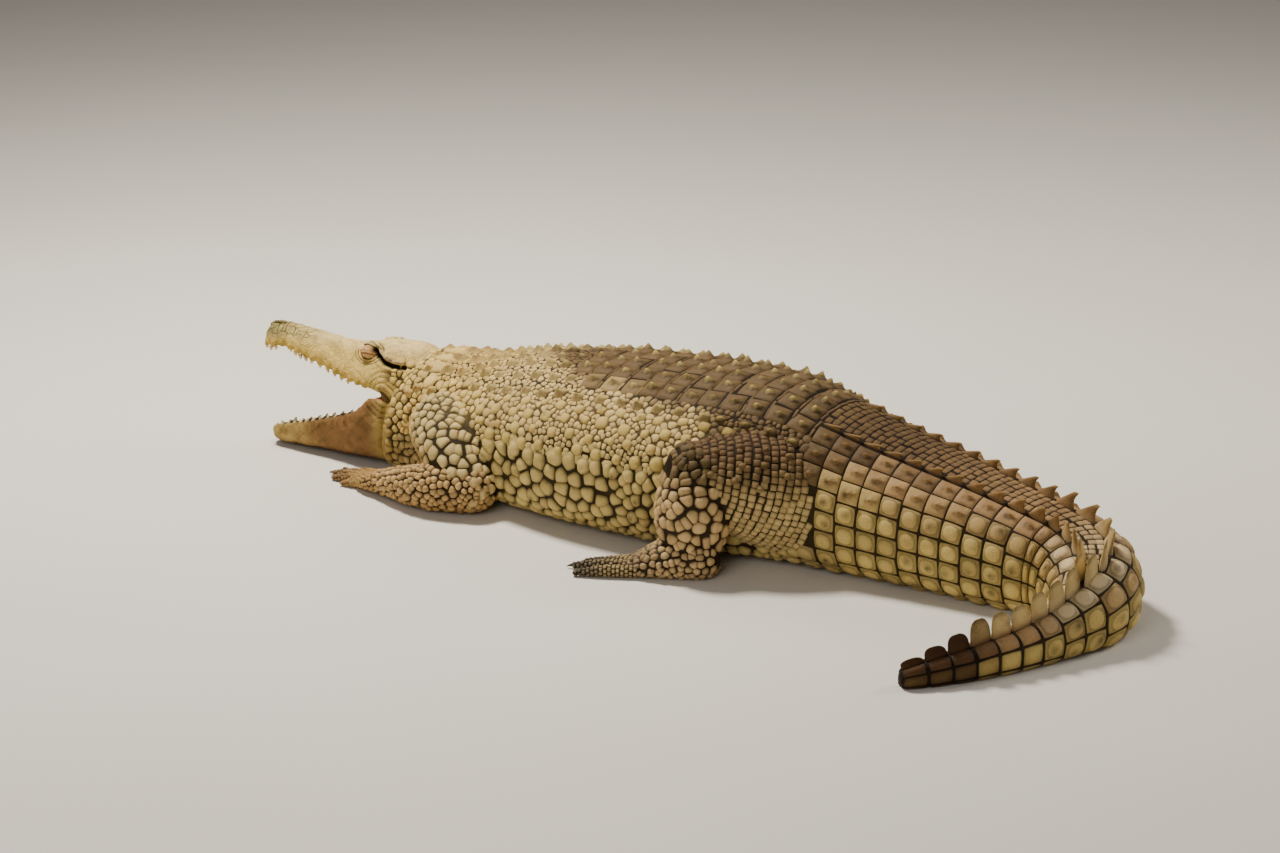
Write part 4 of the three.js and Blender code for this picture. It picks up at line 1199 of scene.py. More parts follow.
def fold_head(data):
    """Presses the folds, slits and lids of the head into the hide."""
    co, normal = places_of(data), normals_of(data)
    h = head_fields(co)
    a, bb, c, around, eye, split = h.a, h.bb, h.c, h.around, h.near_eye, h.split
    up = c - EYE[2]
    on_lid = ease(0.0165 - around, 0.0, 0.004)
    push = eye * (-0.002 * bell(around - 0.0172, 0.0016) + 0.0011 * bell(around - 0.0205, 0.0018)
                  - 0.0011 * bell(around - 0.024, 0.0014)
                  - 0.001 * bell(around - 0.029, 0.0013) * ease(up, 0.0, 0.006)
                  - 0.001 * bell(around - 0.0345, 0.0015) * ease(up, 0.004, 0.012))
    push += eye * on_lid * (-0.0017 * bell(split, 0.0009) - 0.0007 * bell(split - 0.0052, 0.0009)
                            - 0.0005 * bell(split + 0.0048, 0.0009) + 0.0005 * bell(split - 0.0024, 0.0013))
    out = ease(bb, 0.04, 0.048)
    push += out * (-0.0075 * bell(h.ear, 0.004) + 0.0016 * bell(h.ear - 0.0095, 0.0036))
    upper_line = ear_distance(a, c - 0.0105, 1)
    push -= out * 0.0012 * bell(upper_line, 0.0016)
    push -= 0.0042 * bell(h.slit, 0.0027) * ease(a, 0.37, 0.38)
    push += 0.0016 * bell(h.slit - 0.0058, 0.0028) * ease(a, 0.37, 0.38)
    edge = bell(c - h.lip - 0.006, 0.008) * ease(a, 0.12, 0.16) * h.upper
    push += edge * 0.0026 * np.sin(a * 2 * math.pi / 0.0205)
    rim_edge = bell(c - h.rim + 0.008, 0.009) * ease(a, 0.15, 0.19) * (1 - h.upper)
    push += rim_edge * 0.0024 * np.sin(a * 2 * math.pi / 0.0175 + 1.0)
    cheek = (ease(0.062 - h.corner, 0.0, 0.02) * ease(bb, 0.055, 0.068) * (1 - ease(a, 0.125, 0.145))
             * ease(0.215 - c, 0.0, 0.02))
    push -= cheek * 0.0022 * np.maximum(
        0, np.cos(h.corner * 2 * math.pi / FOLD_PITCH + 0.6 * waves(co, 0.05, 12))) ** 3
    rough = h.on * ease(a, 0.05, 0.11) * (0.00055 * waves(co, 0.016, 21) + 0.0008 * waves(co, 0.036, 22))
    canthus = 0.0014 * bell(c - (0.235 + 0.02 * (a - 0.2)), 0.004) * ease(a, 0.17,
        0.2) * (1 - ease(a, 0.33, 0.37))
    push += rough + canthus * h.on
    co += normal * (push * h.on)[:, None]
    co[:, 2] = np.maximum(co[:, 2], 0.0)
    set_places(data, co)


def head_tone(co):
    """The head's colours, with painted shade in its slits and creases and along the bottom of the lower jaw,
    and how dry and cracked it is.
    """
    h = head_fields(co)
    a, bb, c, upper, eye = h.a, h.bb, h.c, h.upper, h.near_eye
    cloud = waves(co, 0.045, 31)
    skull = layered(
        (228, 204, 142),
        ((234, 214, 164), ease(c, 0.215, 0.24)),
        ((150, 146, 112), ease(a + 0.012 * cloud, 0.355, 0.405) * ease(c, 0.215, 0.235) * 0.85),
        ((188, 178, 128), ease(a, 0.24, 0.34) * ease(c, 0.22, 0.24) * 0.5),
        ((206, 180, 108), ease(0.03 - (c - h.lip), 0, 0.022) * ease(a, 0.1, 0.15) * 0.75),
        ((120, 96, 60), ease(a, 0.414, 0.424) * ease(0.232 - c, 0, 0.016) * 0.8))
    jaw = layered(
        (154, 124, 90),
        ((198, 176, 124), ease(a + 0.025 * cloud, 0.24, 0.36)),
        ((122, 104, 72), ease(waves(co, 0.03, 34) + 0.6 * waves(co, 0.012, 35), 0.1, 1.1) * 0.55),
        ((190, 170, 118), (1 - ease(a, 0.085, 0.13)) * 0.9),
        # painted shade along the bottom of the lower jaw, near the floor
        ((96, 70, 40), ease(0.02 - c, 0, 0.018) * ease(a, 0.1, 0.14) * 0.6))
    behind_lips = ease(a, 0.088, 0.1)
    floor = ease(column(MANDIBLE, 3, a) - JAW_WALL + 0.001 - bb, 0,
        0.004) * ease(c - (h.rim - MOUTH_FLOOR - 0.008), 0, 0.005)
    inside = (1 - upper) * floor * behind_lips
    roof = upper * ease(column(SKULL, 3, a) * 0.9 - bb, 0, 0.005)
    roof = roof * ease(h.lip + PALATE_VAULT + 0.004 - c, 0, 0.004) * behind_lips
    lid = eye * ease(0.0168 - h.around, 0, 0.003)
    # the wrinkles round the eye, which take painted shade below
    wrinkle = np.maximum(bell(h.around - 0.024, 0.0014), bell(h.around - 0.029, 0.0012))
    # the folds round the corner of the mouth, whose grooves take painted shade below
    corner = ease(0.06 - h.corner, 0, 0.02) * ease(bb, 0.055, 0.068)
    corner = corner * (1 - ease(a, 0.125, 0.145)) * ease(0.205 - c, 0, 0.02)
    fold_shade = np.maximum(0, np.cos(h.corner * 2 * math.pi / FOLD_PITCH + 0.6 * waves(co, 0.05, 12))) ** 4
    colour = layered(
        jaw,
        (skull, upper),
        (mixed((148, 142, 116), (176, 128, 100), 1 - ease(a, 0.1, 0.17)), inside),
        ((166, 118, 92), roof),
        ((206, 170, 132), lid * 0.9),
        # painted shade in the groove round the lids
        ((34, 26, 20), eye * bell(h.around - 0.0174, 0.0017) * 0.95),
        # painted shade in the wrinkles round the eye
        ((60, 46, 34), eye * wrinkle * 0.75),
        # painted shade in the slit where the lids meet
        ((62, 40, 30), lid * bell(h.split, 0.001) * 0.9),
        # painted shade filling the slit of the ear
        ((14, 11, 9), ease(bb, 0.04, 0.048) * ease(0.0072 - h.ear, 0, 0.0036) * 0.99),
        # painted shade filling the slits of the nostrils
        ((20, 18, 14), bell(h.slit, 0.0034) * ease(a, 0.37, 0.38) * 0.98),
        # painted shade in the grooves of the folds round the corner of the mouth
        ((96, 74, 48), corner * fold_shade * 0.75),
        # painted shade in the corner of the mouth
        ((46, 26, 18), ease(0.011 - h.corner, 0, 0.008) * ease(bb, 0.06, 0.07) * 0.8))
    front = ease(a + 0.02 * cloud, 0.27, 0.34) * ease(c, 0.224, 0.24)
    dry = (ease(a, -0.01, 0.03) * (0.34 + 0.6 * front - 0.1 * (1 - upper))
           * (1 - lid) * (1 - inside) * (1 - roof))
    return colour * (1 + 0.05 * waves(co, 0.02, 33))[:, None], dry


def zone_subdivided(data, rounds):
    """Splits the faces near the eyes, ears and nostrils, so that fine folds have enough mesh."""
    bm = bmesh.new()
    bm.from_mesh(data)
    for i in range(rounds):
        bm.verts.ensure_lookup_table()
        h = head_fields(np.array([v.co for v in bm.verts]))
        share = 1 - 0.12 * i
        inside = ((h.bb > 0.036) & ((h.around < 0.033 * share) | (h.ear < 0.009 * share) & (h.a > 0.05))
                  | (h.slit < 0.009 * share))
        edges = [e for e in bm.edges if inside[e.verts[0].index] and inside[e.verts[1].index]]
        bmesh.ops.subdivide_edges(bm, edges=edges, cuts=1, smooth=0.0, use_grid_fill=True)
        bmesh.ops.triangulate(bm, faces=[f for f in bm.faces if len(f.verts) > 4])
    bm.to_mesh(data)
    bm.free()
    data.update()


FLESH = ["head_upper", "lower_jaw", "throat", "neck", "trunk_front", "trunk_rear", "hips",
    *[f"tail_{i}" for i in range(1, 8)],
         *[f"{part}_{side}" for side in ("left", "right")
             for part in ("upper_arm", "forearm", "hand", "thigh", "shank", "foot")]]


def build_hide(sizes):
    """One seamless hide over head, trunk, tail and limbs."""
    phi = np.linspace(-math.pi, math.pi, 72, endpoint=False)
    u = np.concatenate([np.linspace(NECK_FRONT - 0.012, 0.49, 60), np.linspace(0.5, TAIL_END - 0.004, 86)])
    rings = list(body_points(u, phi, coat_depth(u)))
    end = rings[-1]
    rings.append(end.mean(0) + (end - end.mean(0)) * 0.6
                 + np.append(0.006 * np.array([math.cos(SPINE[-1, 3]), math.sin(SPINE[-1, 3])]), 0))
    pieces = [loft_object("body", rings)]
    pieces.append(loft_object("jowl", jowl_points(np.linspace(-0.012, 0.08, 9), phi, 0.0025)))
    pieces.append(loft_object("skull", [skull_ring(row) for row in SKULL], 2))
    pieces.append(lower_jaw_object())
    pieces.append(egg(*NOSTRILS))
    for side in (1, -1):
        a, b, c, length, width, height = BROW
        pieces.append(egg(a, side * b, c, length, width, height))
        a, b, c, radius = EYE
        pieces.append(egg(a, side * b, c, radius + 0.0016, radius * 0.9 + 0.0018, radius * 0.8 + 0.0016))
    for name, (places, depth) in LIMBS.items():
        pieces.append(loft_object(name, limb_rings(places, 20 if "digit" in name else 32, depth)[0]))
    for side in ("left", "right"):
        roots, tips = (posed(FOOT[key], side, "leg") for key in ("roots", "tips"))
        reach = [tuple(r[k] + (t[k] - r[k]) * WEB for k in range(2)) for r, t in zip(roots, tips)]
        rim = [*roots, *reach[::-1]]
        pieces.append(loft_object("web", [[(x, y, z) for x, y in rim] for z in (0.002, 0.01)]))
    hide = joined("hide", pieces)
    applied(with_modifier(hide, "REMESH", mode="VOXEL", voxel_size=sizes.voxel, adaptivity=0.0))
    data = hide.data
    co = places_of(data)
    body = 1 - ease(head_place(co)[0], 0.0, 0.05)
    relax(data, 6, 0.35 + 0.65 * body)
    relax(data, sizes.blending, body * ease(places_of(data)[:, 2], 0.006, 0.03))
    co = places_of(data)
    group = hide.vertex_groups.new(name="coarse")
    a = head_place(co)[0]
    weight = np.round(1 - ease(a, -0.03, 0.03), 1)
    for value in np.unique(weight):
        if value > 0:
            group.add(np.flatnonzero(weight == value).tolist(), float(value), "REPLACE")
    applied(with_modifier(hide, "DECIMATE", decimate_type="COLLAPSE", ratio=sizes.keep,
        vertex_group="coarse", vertex_group_factor=1.0))
    data = hide.data
    zone_subdivided(data, 2)
    fold_head(data)
    MADE["tree"] = search_tree(hide)
    REGIONS.update(skin_regions())
    co = places_of(data)
    grid, tones = [], []
    for surface in REGIONS.values():
        s = np.repeat(surface.run, surface.points.shape[1])
        f = np.tile(np.linspace(-1, 1, surface.points.shape[1]), len(surface.run))
        grid.append(surface.points.reshape(-1, 3))
        tones.append(surface.tone(s, f, surface.points.reshape(-1, 3)))
    grid, tones = np.vstack(grid), np.vstack(tones)
    colour = nearest_mean(co, grid, tones)
    # the hide between the scales is painted dark brown: partly dirt in the grooves, partly painted shade
    # there
    colour = linear((44, 32, 20)) + colour * (0.045 + 0.1 * pale_flank(co))[:, None]
    face, dry = head_tone(co)
    a, _, c = head_place(co)
    share = ease(a, -0.02, 0.0) * (1 - 0.93 * scaled_cheek(a, c) * (1 - ease(a, 0.08, 0.11)))
    colour = mixed(colour, face, share)
    paint(data, np.clip(colour, 0, 1))
    layer = data.attributes.new("dryness", "FLOAT", "POINT")
    layer.data.foreach_set("value", (dry * share).astype(np.float32))
    REGIONS["head"] = head_region()
    MADE["hide"] = hide_finish()
    finish_piece(hide, MADE["hide"], FLESH)


def tree_of(places):
    tree = KDTree(len(places))
    for i, place in enumerate(places):
        tree.insert(place, i)
    tree.balance()
    return tree


def nearest_mean(points, known, values):
    """Values at points from the nearest known places."""
    tree = tree_of(known)
    out = np.empty((len(points), values.shape[1]))
    for i, point in enumerate(points):
        found = tree.find_n(point, 3)
        weight = np.array([1 / (d + 0.002) for _, _, d in found])
        out[i] = weight @ values[[k for _, k, _ in found]] / weight.sum()
    return out


# ---- scales -----------------------------------------------------------------------

def jitter(count, amount):
    return 1 + amount * GRAIN.uniform(-1, 1, count)


def rows_round(surface, s, f0, f1, count, stagger=0.0):
    """Places of count scales spread evenly over the shares f0 to f1 of one row at run s."""
    step = (f1 - f0) / count
    return np.full(count, s), f0 + (np.arange(count) + 0.5 + stagger) * step, np.full(count,
        abs(step) * float(np.interp(s, surface.run, surface.girth)))


def lattice(surface, s0, s1, pitch, across, wander):
    """Staggered places all round a stretch of a surface, with the room that each has."""
    rows = max(1, round((s1 - s0) / pitch))
    step = (s1 - s0) / rows
    found = []
    for i in range(rows):
        s = s0 + (i + 0.5) * step
        girth = float(np.interp(s, surface.run, surface.girth))
        count = max(3, round(2 * girth / across))
        ss, ff, room = rows_round(surface, s, -1.0, 1.0, count, 0.5 * (i % 2))
        found.append(np.stack([ss, ff, np.full(count, step), room]))
    s, f, long, wide = np.hstack(found)
    s = s + long * wander * GRAIN.uniform(-1, 1, len(s))
    f = f + wander * GRAIN.uniform(-1, 1, len(f)) * wide / np.interp(s, surface.run, surface.girth)
    return s, f, long, wide


def mosaic(surface, spacing, s0, s1, f0=-1.0, f1=1.0, keep=None, rounds=5):
    """Cells that share a stretch of a surface evenly: their places, and the axis and neighbours of each."""
    p = surface.points
    area = np.linalg.norm(np.cross(p[1:, :-1] - p[:-1, :-1], p[:-1, 1:] - p[:-1, :-1]), axis=2)
    run = (surface.run[1:] + surface.run[:-1]) / 2
    share = np.linspace(-1, 1, p.shape[1])
    share = (share[1:] + share[:-1]) / 2
    area = area * ((run > s0) & (run < s1))[:, None] * ((share > f0) & (share < f1))[None]
    total = int(area.sum() / spacing ** 2 * 18)
    picked = GRAIN.choice(area.size, total, p=(area / area.sum()).ravel())
    i, j = np.divmod(picked, area.shape[1])
    s = np.interp(i + GRAIN.uniform(0, 1, total), np.arange(len(surface.run)), surface.run)
    f = (j + GRAIN.uniform(0, 1, total)) / (p.shape[1] - 1) * 2 - 1
    points, _, _ = surface.at(s, f)
    if keep is not None:
        kept = keep(s, f, points)
        s, f, points = s[kept], f[kept], points[kept]
    count = max(16, len(s) // 18)
    seeds = points[:count].copy()
    for _ in range(rounds):
        tree = tree_of(seeds)
        owner = np.array([tree.find(place)[1] for place in points])
        number = np.maximum(np.bincount(owner, minlength=count), 1)
        seeds = np.stack([np.bincount(owner, points[:, k], count) for k in range(3)], -1) / number[:, None]
    order = np.argsort(((points - seeds[owner]) ** 2).sum(1))
    _, first = np.unique(owner[order], return_index=True)
    middle = order[first]
    own = owner[middle]
    off = points - seeds[owner]
    spread = [np.bincount(owner, off[:, a] * off[:, b], count) for a in range(3) for b in range(3)]
    vector = np.linalg.eigh((np.stack(spread, -1).reshape(count, 3, 3) / number[:, None, None])[own])[1]
    tree = tree_of(seeds)
    near = [[np.array(other) - seeds[k] for other, _, _ in tree.find_n(seeds[k], 11)[1:]] for k in own]
    return s[middle], f[middle], (vector[:, :, 2], np.array(near))


def toned(surface, s, f, spread=0.1, gain=1.0):
    """The region's colour at scale places, each a little lighter or darker."""
    points, _, _ = surface.at(s, f)
    return np.clip(surface.tone(s, f, points) * (gain * jitter(len(s), spread))[:, None], 0, 1)


def whorls():
    """The tail's rings as (start, pitch, middle)."""
    edges = np.linspace(TAIL_START, TAIL_END, WHORLS + 1)
    return [(s0, s1 - s0, (s0 + s1) / 2) for s0, s1 in zip(edges[:-1], edges[1:])]


def lay_tail():
    """Square domed scales in rings round the tail, keeled above, with small ones between the crests."""
    surface = REGIONS["body"]
    coat = Coat("scales_tail")
    for s0, pitch, s in whorls():
        girth = float(np.interp(s, surface.run, surface.girth))
        spread = smooth_table(CREST, s)[1]
        single = s >= CREST_MERGE
        f_top = 0.004 / girth if single else (spread + 0.009) / girth
        count = max(3, round((1 - f_top) * girth / 0.0405))
        for side in (-1, 1):
            ss, ff, room = rows_round(surface, s, f_top, 1.0, count)
            rank = np.arange(count)
            rise = 0.0062 * np.where(ff < 0.8, 1.0, 0.6) * np.interp(s, [0.5, 1.1, 1.6], [1.0, 0.9, 0.7])
            colours = toned(surface, ss, side * ff, 0.11)
            stain = (GRAIN.uniform(0, 1, count) < 0.3) & (ff > 0.16) & (ff < 0.78) & (s < 1.42)
            dark = np.where(stain, GRAIN.uniform(0.5, 0.95, count), 0)
            keeled = (rank < (3 if s < 0.66 else 2 if s < 0.84 else 1)) & (s < 0.97)
            flat = ~keeled & (s > 1.36)
            kinds = ((SQUARE_OVAL, ~keeled & ~flat, 1.0, None), (SQUARE, flat, 0.62, None),
                     (KNOBBED, keeled, 1.35, (150, 122, 82)))
            for shape, chosen, lift, tip in kinds:
                number = int(chosen.sum())
                if number:
                    at = ss[chosen] + 0.0005 * GRAIN.normal(size=number)
                    lifts = rise[chosen] * lift * jitter(number, 0.18)
                    coat.lay(
                        surface, shape, at, side * ff[chosen], (pitch * 0.975, room[chosen] * 0.972), lifts,
                        colours[chosen], turn=0.025 * GRAIN.normal(size=number), tilt=0.0012,
                        dark=dark[chosen], tip=tip, limit=0.01, cling=False)
        if not single:
            half = spread - 0.006
            inner = max(2, round(2 * half / 0.019))
            for part in (0.17, 0.5, 0.83):
                ss, ff, room = rows_round(surface, s0 + part * pitch, -half / girth, half / girth, inner)
                ff = ff + 0.1 * room / girth * GRAIN.normal(size=inner)
                coat.lay(surface, PLATE, ss, ff, (pitch * 0.32, room * 0.94 * jitter(inner, 0.12)),
                    0.0022 * jitter(inner, 0.4), toned(surface, ss, ff, 0.14),
                    turn=0.08 * GRAIN.normal(size=inner), limit=0.01, cling=False)
    coat.build("tail_hide")


STRIPS, STRIPS_TO = 5, 0.225        # narrow scales between the rows of shields, and how far round they go
KEEL_ROWS = (0.038, 0.112, 0.190, 0.262)
# Ovals of the flank: share of the half girth, length, width, rise.
FLANK_OVALS = (
    (0.300, 0.022, 0.019, 0.0046), (0.345, 0.023, 0.021, 0.0048), (0.392, 0.022, 0.021, 0.0052),
    (0.436, 0.025, 0.025, 0.0060),
)
FLANK_YELLOW = (214, 192, 122)
LARGE_OVALS = (0.458, 0.722)       # the stretch of the half girth that closely packed ovals cover
BELLY_ROWS = np.linspace(0.742, 0.985, 7)
SHIELDS_FROM = -0.065              # where the flat shields of the back begin


def lay_trunk():
    """Flat shields with a knob along the back, small scales and ovals on the flank, large domes below."""
    surface = REGIONS["body"]
    coat, flank = Coat("scales_back"), Coat("scales_flank")
    start, end, rows = -0.3, TAIL_START, 17
    pitch = (end - start) / rows
    taken = []
    for i in range(rows):
        s = start + (i + 0.5) * pitch
        girth = float(np.interp(s, surface.run, surface.girth))
        for side in (-1, 1):
            for k, centre in enumerate(KEEL_ROWS):
                shield = k < 3 and s > SHIELDS_FROM + 0.065 * (k == 2)
                at = np.array([s - 0.12 * pitch + 0.0025 * GRAIN.normal()])
                ff = np.array([side * (centre + 0.003 * GRAIN.normal())])
                shape, long, wide = KEELED, 0.027, 0.024
                if shield:
                    shape, long, wide = KNOBBED, pitch * 0.9, 0.0745 * girth
                tip = mixed(KNOB, (120, 104, 66), GRAIN.uniform(0, 0.8))
                coat.lay(surface, shape, at, ff, (long, wide), 0.0105 * jitter(1, 0.28),
                    toned(surface, at, ff, 0.09), turn=0.04 * GRAIN.normal(), tilt=0.0012 * shield, tip=tip)
            if s > SHIELDS_FROM:
                number = STRIPS
                ff = side * (np.arange(number) + 0.5) * STRIPS_TO / number * jitter(number, 0.02)
                coat.lay(surface, STRIP, s + pitch * 0.405 + 0.0007 * GRAIN.normal(size=number), ff,
                    (pitch * 0.115, 0.0435 * girth), 0.0016 * jitter(number, 0.3),
                    toned(surface, np.full(number, s), ff, 0.12, 0.95),
                         turn=0.06 * GRAIN.normal(size=number))
            for k, (f, long, wide, rise) in enumerate(FLANK_OVALS):
                at = np.array([s + pitch * (0.25 * (-1) ** k) + 0.003 * GRAIN.normal()])
                ff = side * (f + 0.004 * GRAIN.normal(size=1))
                size = 1 + 0.16 * GRAIN.normal() * (1 if k < 4 else 0.5)
                taken.append((at[0], ff[0], long * size * 0.64, wide * size * 0.64, girth))
                colour = mixed(toned(surface, at, ff, 0.1), FLANK_YELLOW, 0.45)
                dark = np.array([0.8 if GRAIN.uniform() < 0.06 else 0.0])
                flank.lay(surface, DOME if k < 3 else OVAL, at, ff, (long * size * 1.14, wide * size * 1.14),
                    rise * 1.05 * jitter(1, 0.2), colour, turn=0.3 * GRAIN.normal(size=1), dark=dark)
            at, ff = np.full(len(BELLY_ROWS), s), side * BELLY_ROWS
            room = (pitch * 0.97, (BELLY_ROWS[1] - BELLY_ROWS[0]) * girth * 0.98)
            coat.lay(surface, SQUARE, at, ff, room, 0.0022, toned(surface, at, ff, 0.05))
    # small scales between the ovals
    taken = np.array(taken)

    def between(s, f, points):
        free = (np.abs(f) > 0.2265) | (s < SHIELDS_FROM) | (np.abs(f) > 0.151) & (s < SHIELDS_FROM + 0.065)
        for at, share, half_long, half_wide, girth in taken:
            free &= ((s - at) / half_long) ** 2 + ((f - share) * girth / half_wide) ** 2 > 1
        return free

    for side in (-1, 1):
        low, high = sorted((0.0, side * LARGE_OVALS[0]))
        s, f, cells = mosaic(surface, 0.0118, start, end, low, high, keep=between, rounds=3)
        flank.lay(surface, CHIP, s, f, cells, 0.0016 * jitter(len(s), 0.4), toned(surface, s, f, 0.16))
        low, high = sorted((side * LARGE_OVALS[0], side * LARGE_OVALS[1]))
        s, f, cells = mosaic(surface, 0.027, start, end, low, high, rounds=6)
        flank.lay(surface, OVAL, s, f, cells, 0.0072 * jitter(len(s), 0.16), toned(surface, s, f, 0.1),
            dark=0.8 * (GRAIN.uniform(size=len(s)) < 0.06))
    coat.build("body_hide")
    flank.build("body_hide")


# Keeled scales of the nape, on both sides of the midline: run, share of the half girth, length, width.
NAPE_SHIELD = (
    (-0.398, 0.060, 0.044, 0.036), (-0.350, 0.062, 0.044, 0.036), (-0.395, 0.165, 0.036, 0.030),
    (-0.350, 0.172, 0.034, 0.030), (-0.312, 0.048, 0.030, 0.028), (-0.312, 0.140, 0.030, 0.028),
)
NAPE_HALF, NAPE_FROM = 0.235, -0.418      # the patch of small scales round the shield


def lay_neck():
    """Beads over the neck, with larger knobs among them and the keeled nape shield."""
    surface = REGIONS["neck"]
    coat = Coat("scales_neck")
    s, f, cells = mosaic(surface, 0.0176, NECK_FRONT + 0.026, -0.298, keep=lambda s, f,
        points: ~((np.abs(f) < NAPE_HALF) & (s > NAPE_FROM)))
    lift = 0.0052 * (1 + 0.25 * ease(np.abs(f), 0.4, 0.5)) * jitter(len(s), 0.4)
    coat.lay(surface, DOME, s, f, cells, lift, toned(surface, s, f, 0.16), limit=0.022)
    s, f, _, _ = lattice(surface, NECK_FRONT + 0.03, -0.305, 0.044, 0.06, wander=0.22)
    knobs = (np.abs(f) > 0.25) & (np.abs(f) < 0.62)
    coat.lay(surface, KEELED, s[knobs], f[knobs], (0.025, 0.022), 0.01 * jitter(knobs.sum(), 0.25),
        toned(surface, s[knobs], f[knobs], 0.1, 0.95), limit=0.022, tip=(196, 172, 112))
    for s, f, long, wide in NAPE_SHIELD:
        both = np.array([f, -f])
        coat.lay(surface, KEELED, np.array([s, s]), both, (long, wide), 0.01,
            toned(surface, np.array([s, s]), both, 0.06, 0.9), tip=(150, 120, 78))
    s, f, cells = mosaic(surface, 0.0112, NAPE_FROM, -0.298, -NAPE_HALF, NAPE_HALF)
    coat.lay(surface, CHIP, s, f, cells, 0.002 * jitter(len(s), 0.4), toned(surface, s, f, 0.14, 0.9))
    coat.build("body_hide")


def lay_head():
    """Small scales over the cheeks, the jowls and the back of the skull, with a few knobs behind it."""
    surface = REGIONS["head"]
    coat = Coat("scales_head")

    def on_cheek(s, f, points):
        a, _, c = head_place(points)
        return (scaled_cheek(a, c) > 0.5) & (a < 0.08)

    s, f, cells = mosaic(surface, 0.0158, -0.084, 0.029, keep=on_cheek)
    points, _, _ = surface.at(s, f)
    a, _, c = head_place(points)
    low = ease(0.205 - c, 0.0, 0.06)
    body = body_tone(np.full(len(s), -0.42), f, points)
    colours = mixed(surface.tone(s, f, points), body, 1 - ease(a, 0.02, 0.07)) * jitter(len(s), 0.15)[:, None]
    coat.lay(surface, DOME, s, f, cells, (0.002 + 0.0034 * low) * jitter(len(s), 0.4), np.clip(colours, 0, 1))
    knob_s, knob_f = np.array([0.004, 0.008, -0.002, 0.006, -0.012, -0.02]), np.array([0.07, 0.2, 0.32, 0.44,
        0.52, 0.36])
    for side in (-1, 1):
        points, _, _ = surface.at(knob_s, side * knob_f)
        coat.lay(surface, KEELED, knob_s, side * knob_f, (0.024, 0.021), 0.0088,
            np.clip(body_tone(np.full(6, -0.42), knob_f, points), 0, 1), tip=(176, 140, 92))
    coat.build("head_hide")


LIMB_COATS = {
    # name: shape, spacing, rise, first and last share of the run, tilt
    "upper_arm": (OVAL, 0.0215, 0.0046, 0.04, 0.99, 0.0010),
    "forearm": (BEAD, 0.0145, 0.0052, 0.03, 0.99, 0.0008),
    "hand": (BEAD, 0.0092, 0.0026, 0.06, 0.94, 0.0004),
    "thigh": (SQUARE, 0.0136, 0.0032, 0.02, 0.99, 0.0004),
    "shank": (DOME, 0.0225, 0.0056, 0.03, 0.99, 0.0016),
    "foot": (BEAD, 0.0140, 0.0042, 0.04, 0.98, 0.0012),
}
THIGH_UNEVEN = 0.08
LIMB_PATCHES = {"left": (0.02, 0.47, 0.02, 0.98), "right": (0.53, 0.98, 0.02, 0.98)}


def lay_limb(part):
    """Scales of one limb length on both sides of the body."""
    shape, spacing, rise, first, last, tilt = LIMB_COATS[part]
    coat = Coat(f"scales_{part}")
    for side, patch in LIMB_PATCHES.items():
        surface = REGIONS[f"{part}_{side}"]
        surface.patch = patch
        lo, length = surface.run[0], surface.run[-1] - surface.run[0]
        if part == "thigh":
            s, f, *cells = lattice(surface, lo + length * first, lo + length * last, spacing, spacing,
                wander=THIGH_UNEVEN)
        else:
            s, f, cells = mosaic(surface, spacing, lo + length * first, lo + length * last)
        size = jitter(len(s), THIGH_UNEVEN)
        if part == "thigh":
            cells = cells[0] * 1.08 * size, cells[1] * 1.06 * size
        colours = toned(surface, s, f, 0.15)
        lift = rise * jitter(len(s), 0.3)
        coat.lay(surface, shape, s, f, cells, lift, colours, turn=0.06 * GRAIN.normal(size=len(s)),
            tilt=tilt, limit=0.016)
        if part == "thigh":
            s, f, _, _ = lattice(surface, lo + length * 0.1, lo + length * 0.95, 0.04, 0.04, wander=0.15)
            high = surface.at(s, f)[0][:, 2] > 0.17
            coat.lay(surface, KEELED, s[high], f[high], (0.0165, 0.016), 0.0085,
                toned(surface, s[high], f[high], 0.12, 1.1), limit=0.016, tip=(150, 132, 92))
    coat.build("limb_hide")


def lay_digits():
    """The smallest scales: short plates over fingers and toes."""
    coat = Coat("scales_digits")
    names = [name for name in REGIONS if "digit" in name]
    for k, name in enumerate(names):
        surface = REGIONS[name]
        lo, length = surface.run[0], surface.run[-1] - surface.run[0]
        row, place = divmod(k, 6)
        surface.patch = (0.02 + 0.96 * place / 6, 0.02 + 0.96 * (place + 0.86) / 6, 0.02 + 0.96 * row / 3,
            0.02 + 0.96 * (row + 0.9) / 3)
        s, f, long, wide = lattice(surface, lo + length * 0.03, lo + length * 0.98, 0.008, 0.0092,
            wander=0.06)
        coat.lay(surface, ROUND_BEAD, s, f, (long * 1.02, wide), 0.0018 * jitter(len(s), 0.2),
            toned(surface, s, f, 0.12), tilt=0.0006, limit=0.006)
    coat.build("limb_hide")


# ---- crest, teeth, claws, tongue and eyes -----------------------------------------

FIN_LEVELS = np.array([-0.24, 0.06, 0.28, 0.54, 0.76, 0.91, 1.0])
FIN_TURN = np.linspace(0, 2 * math.pi, 10, endpoint=False)


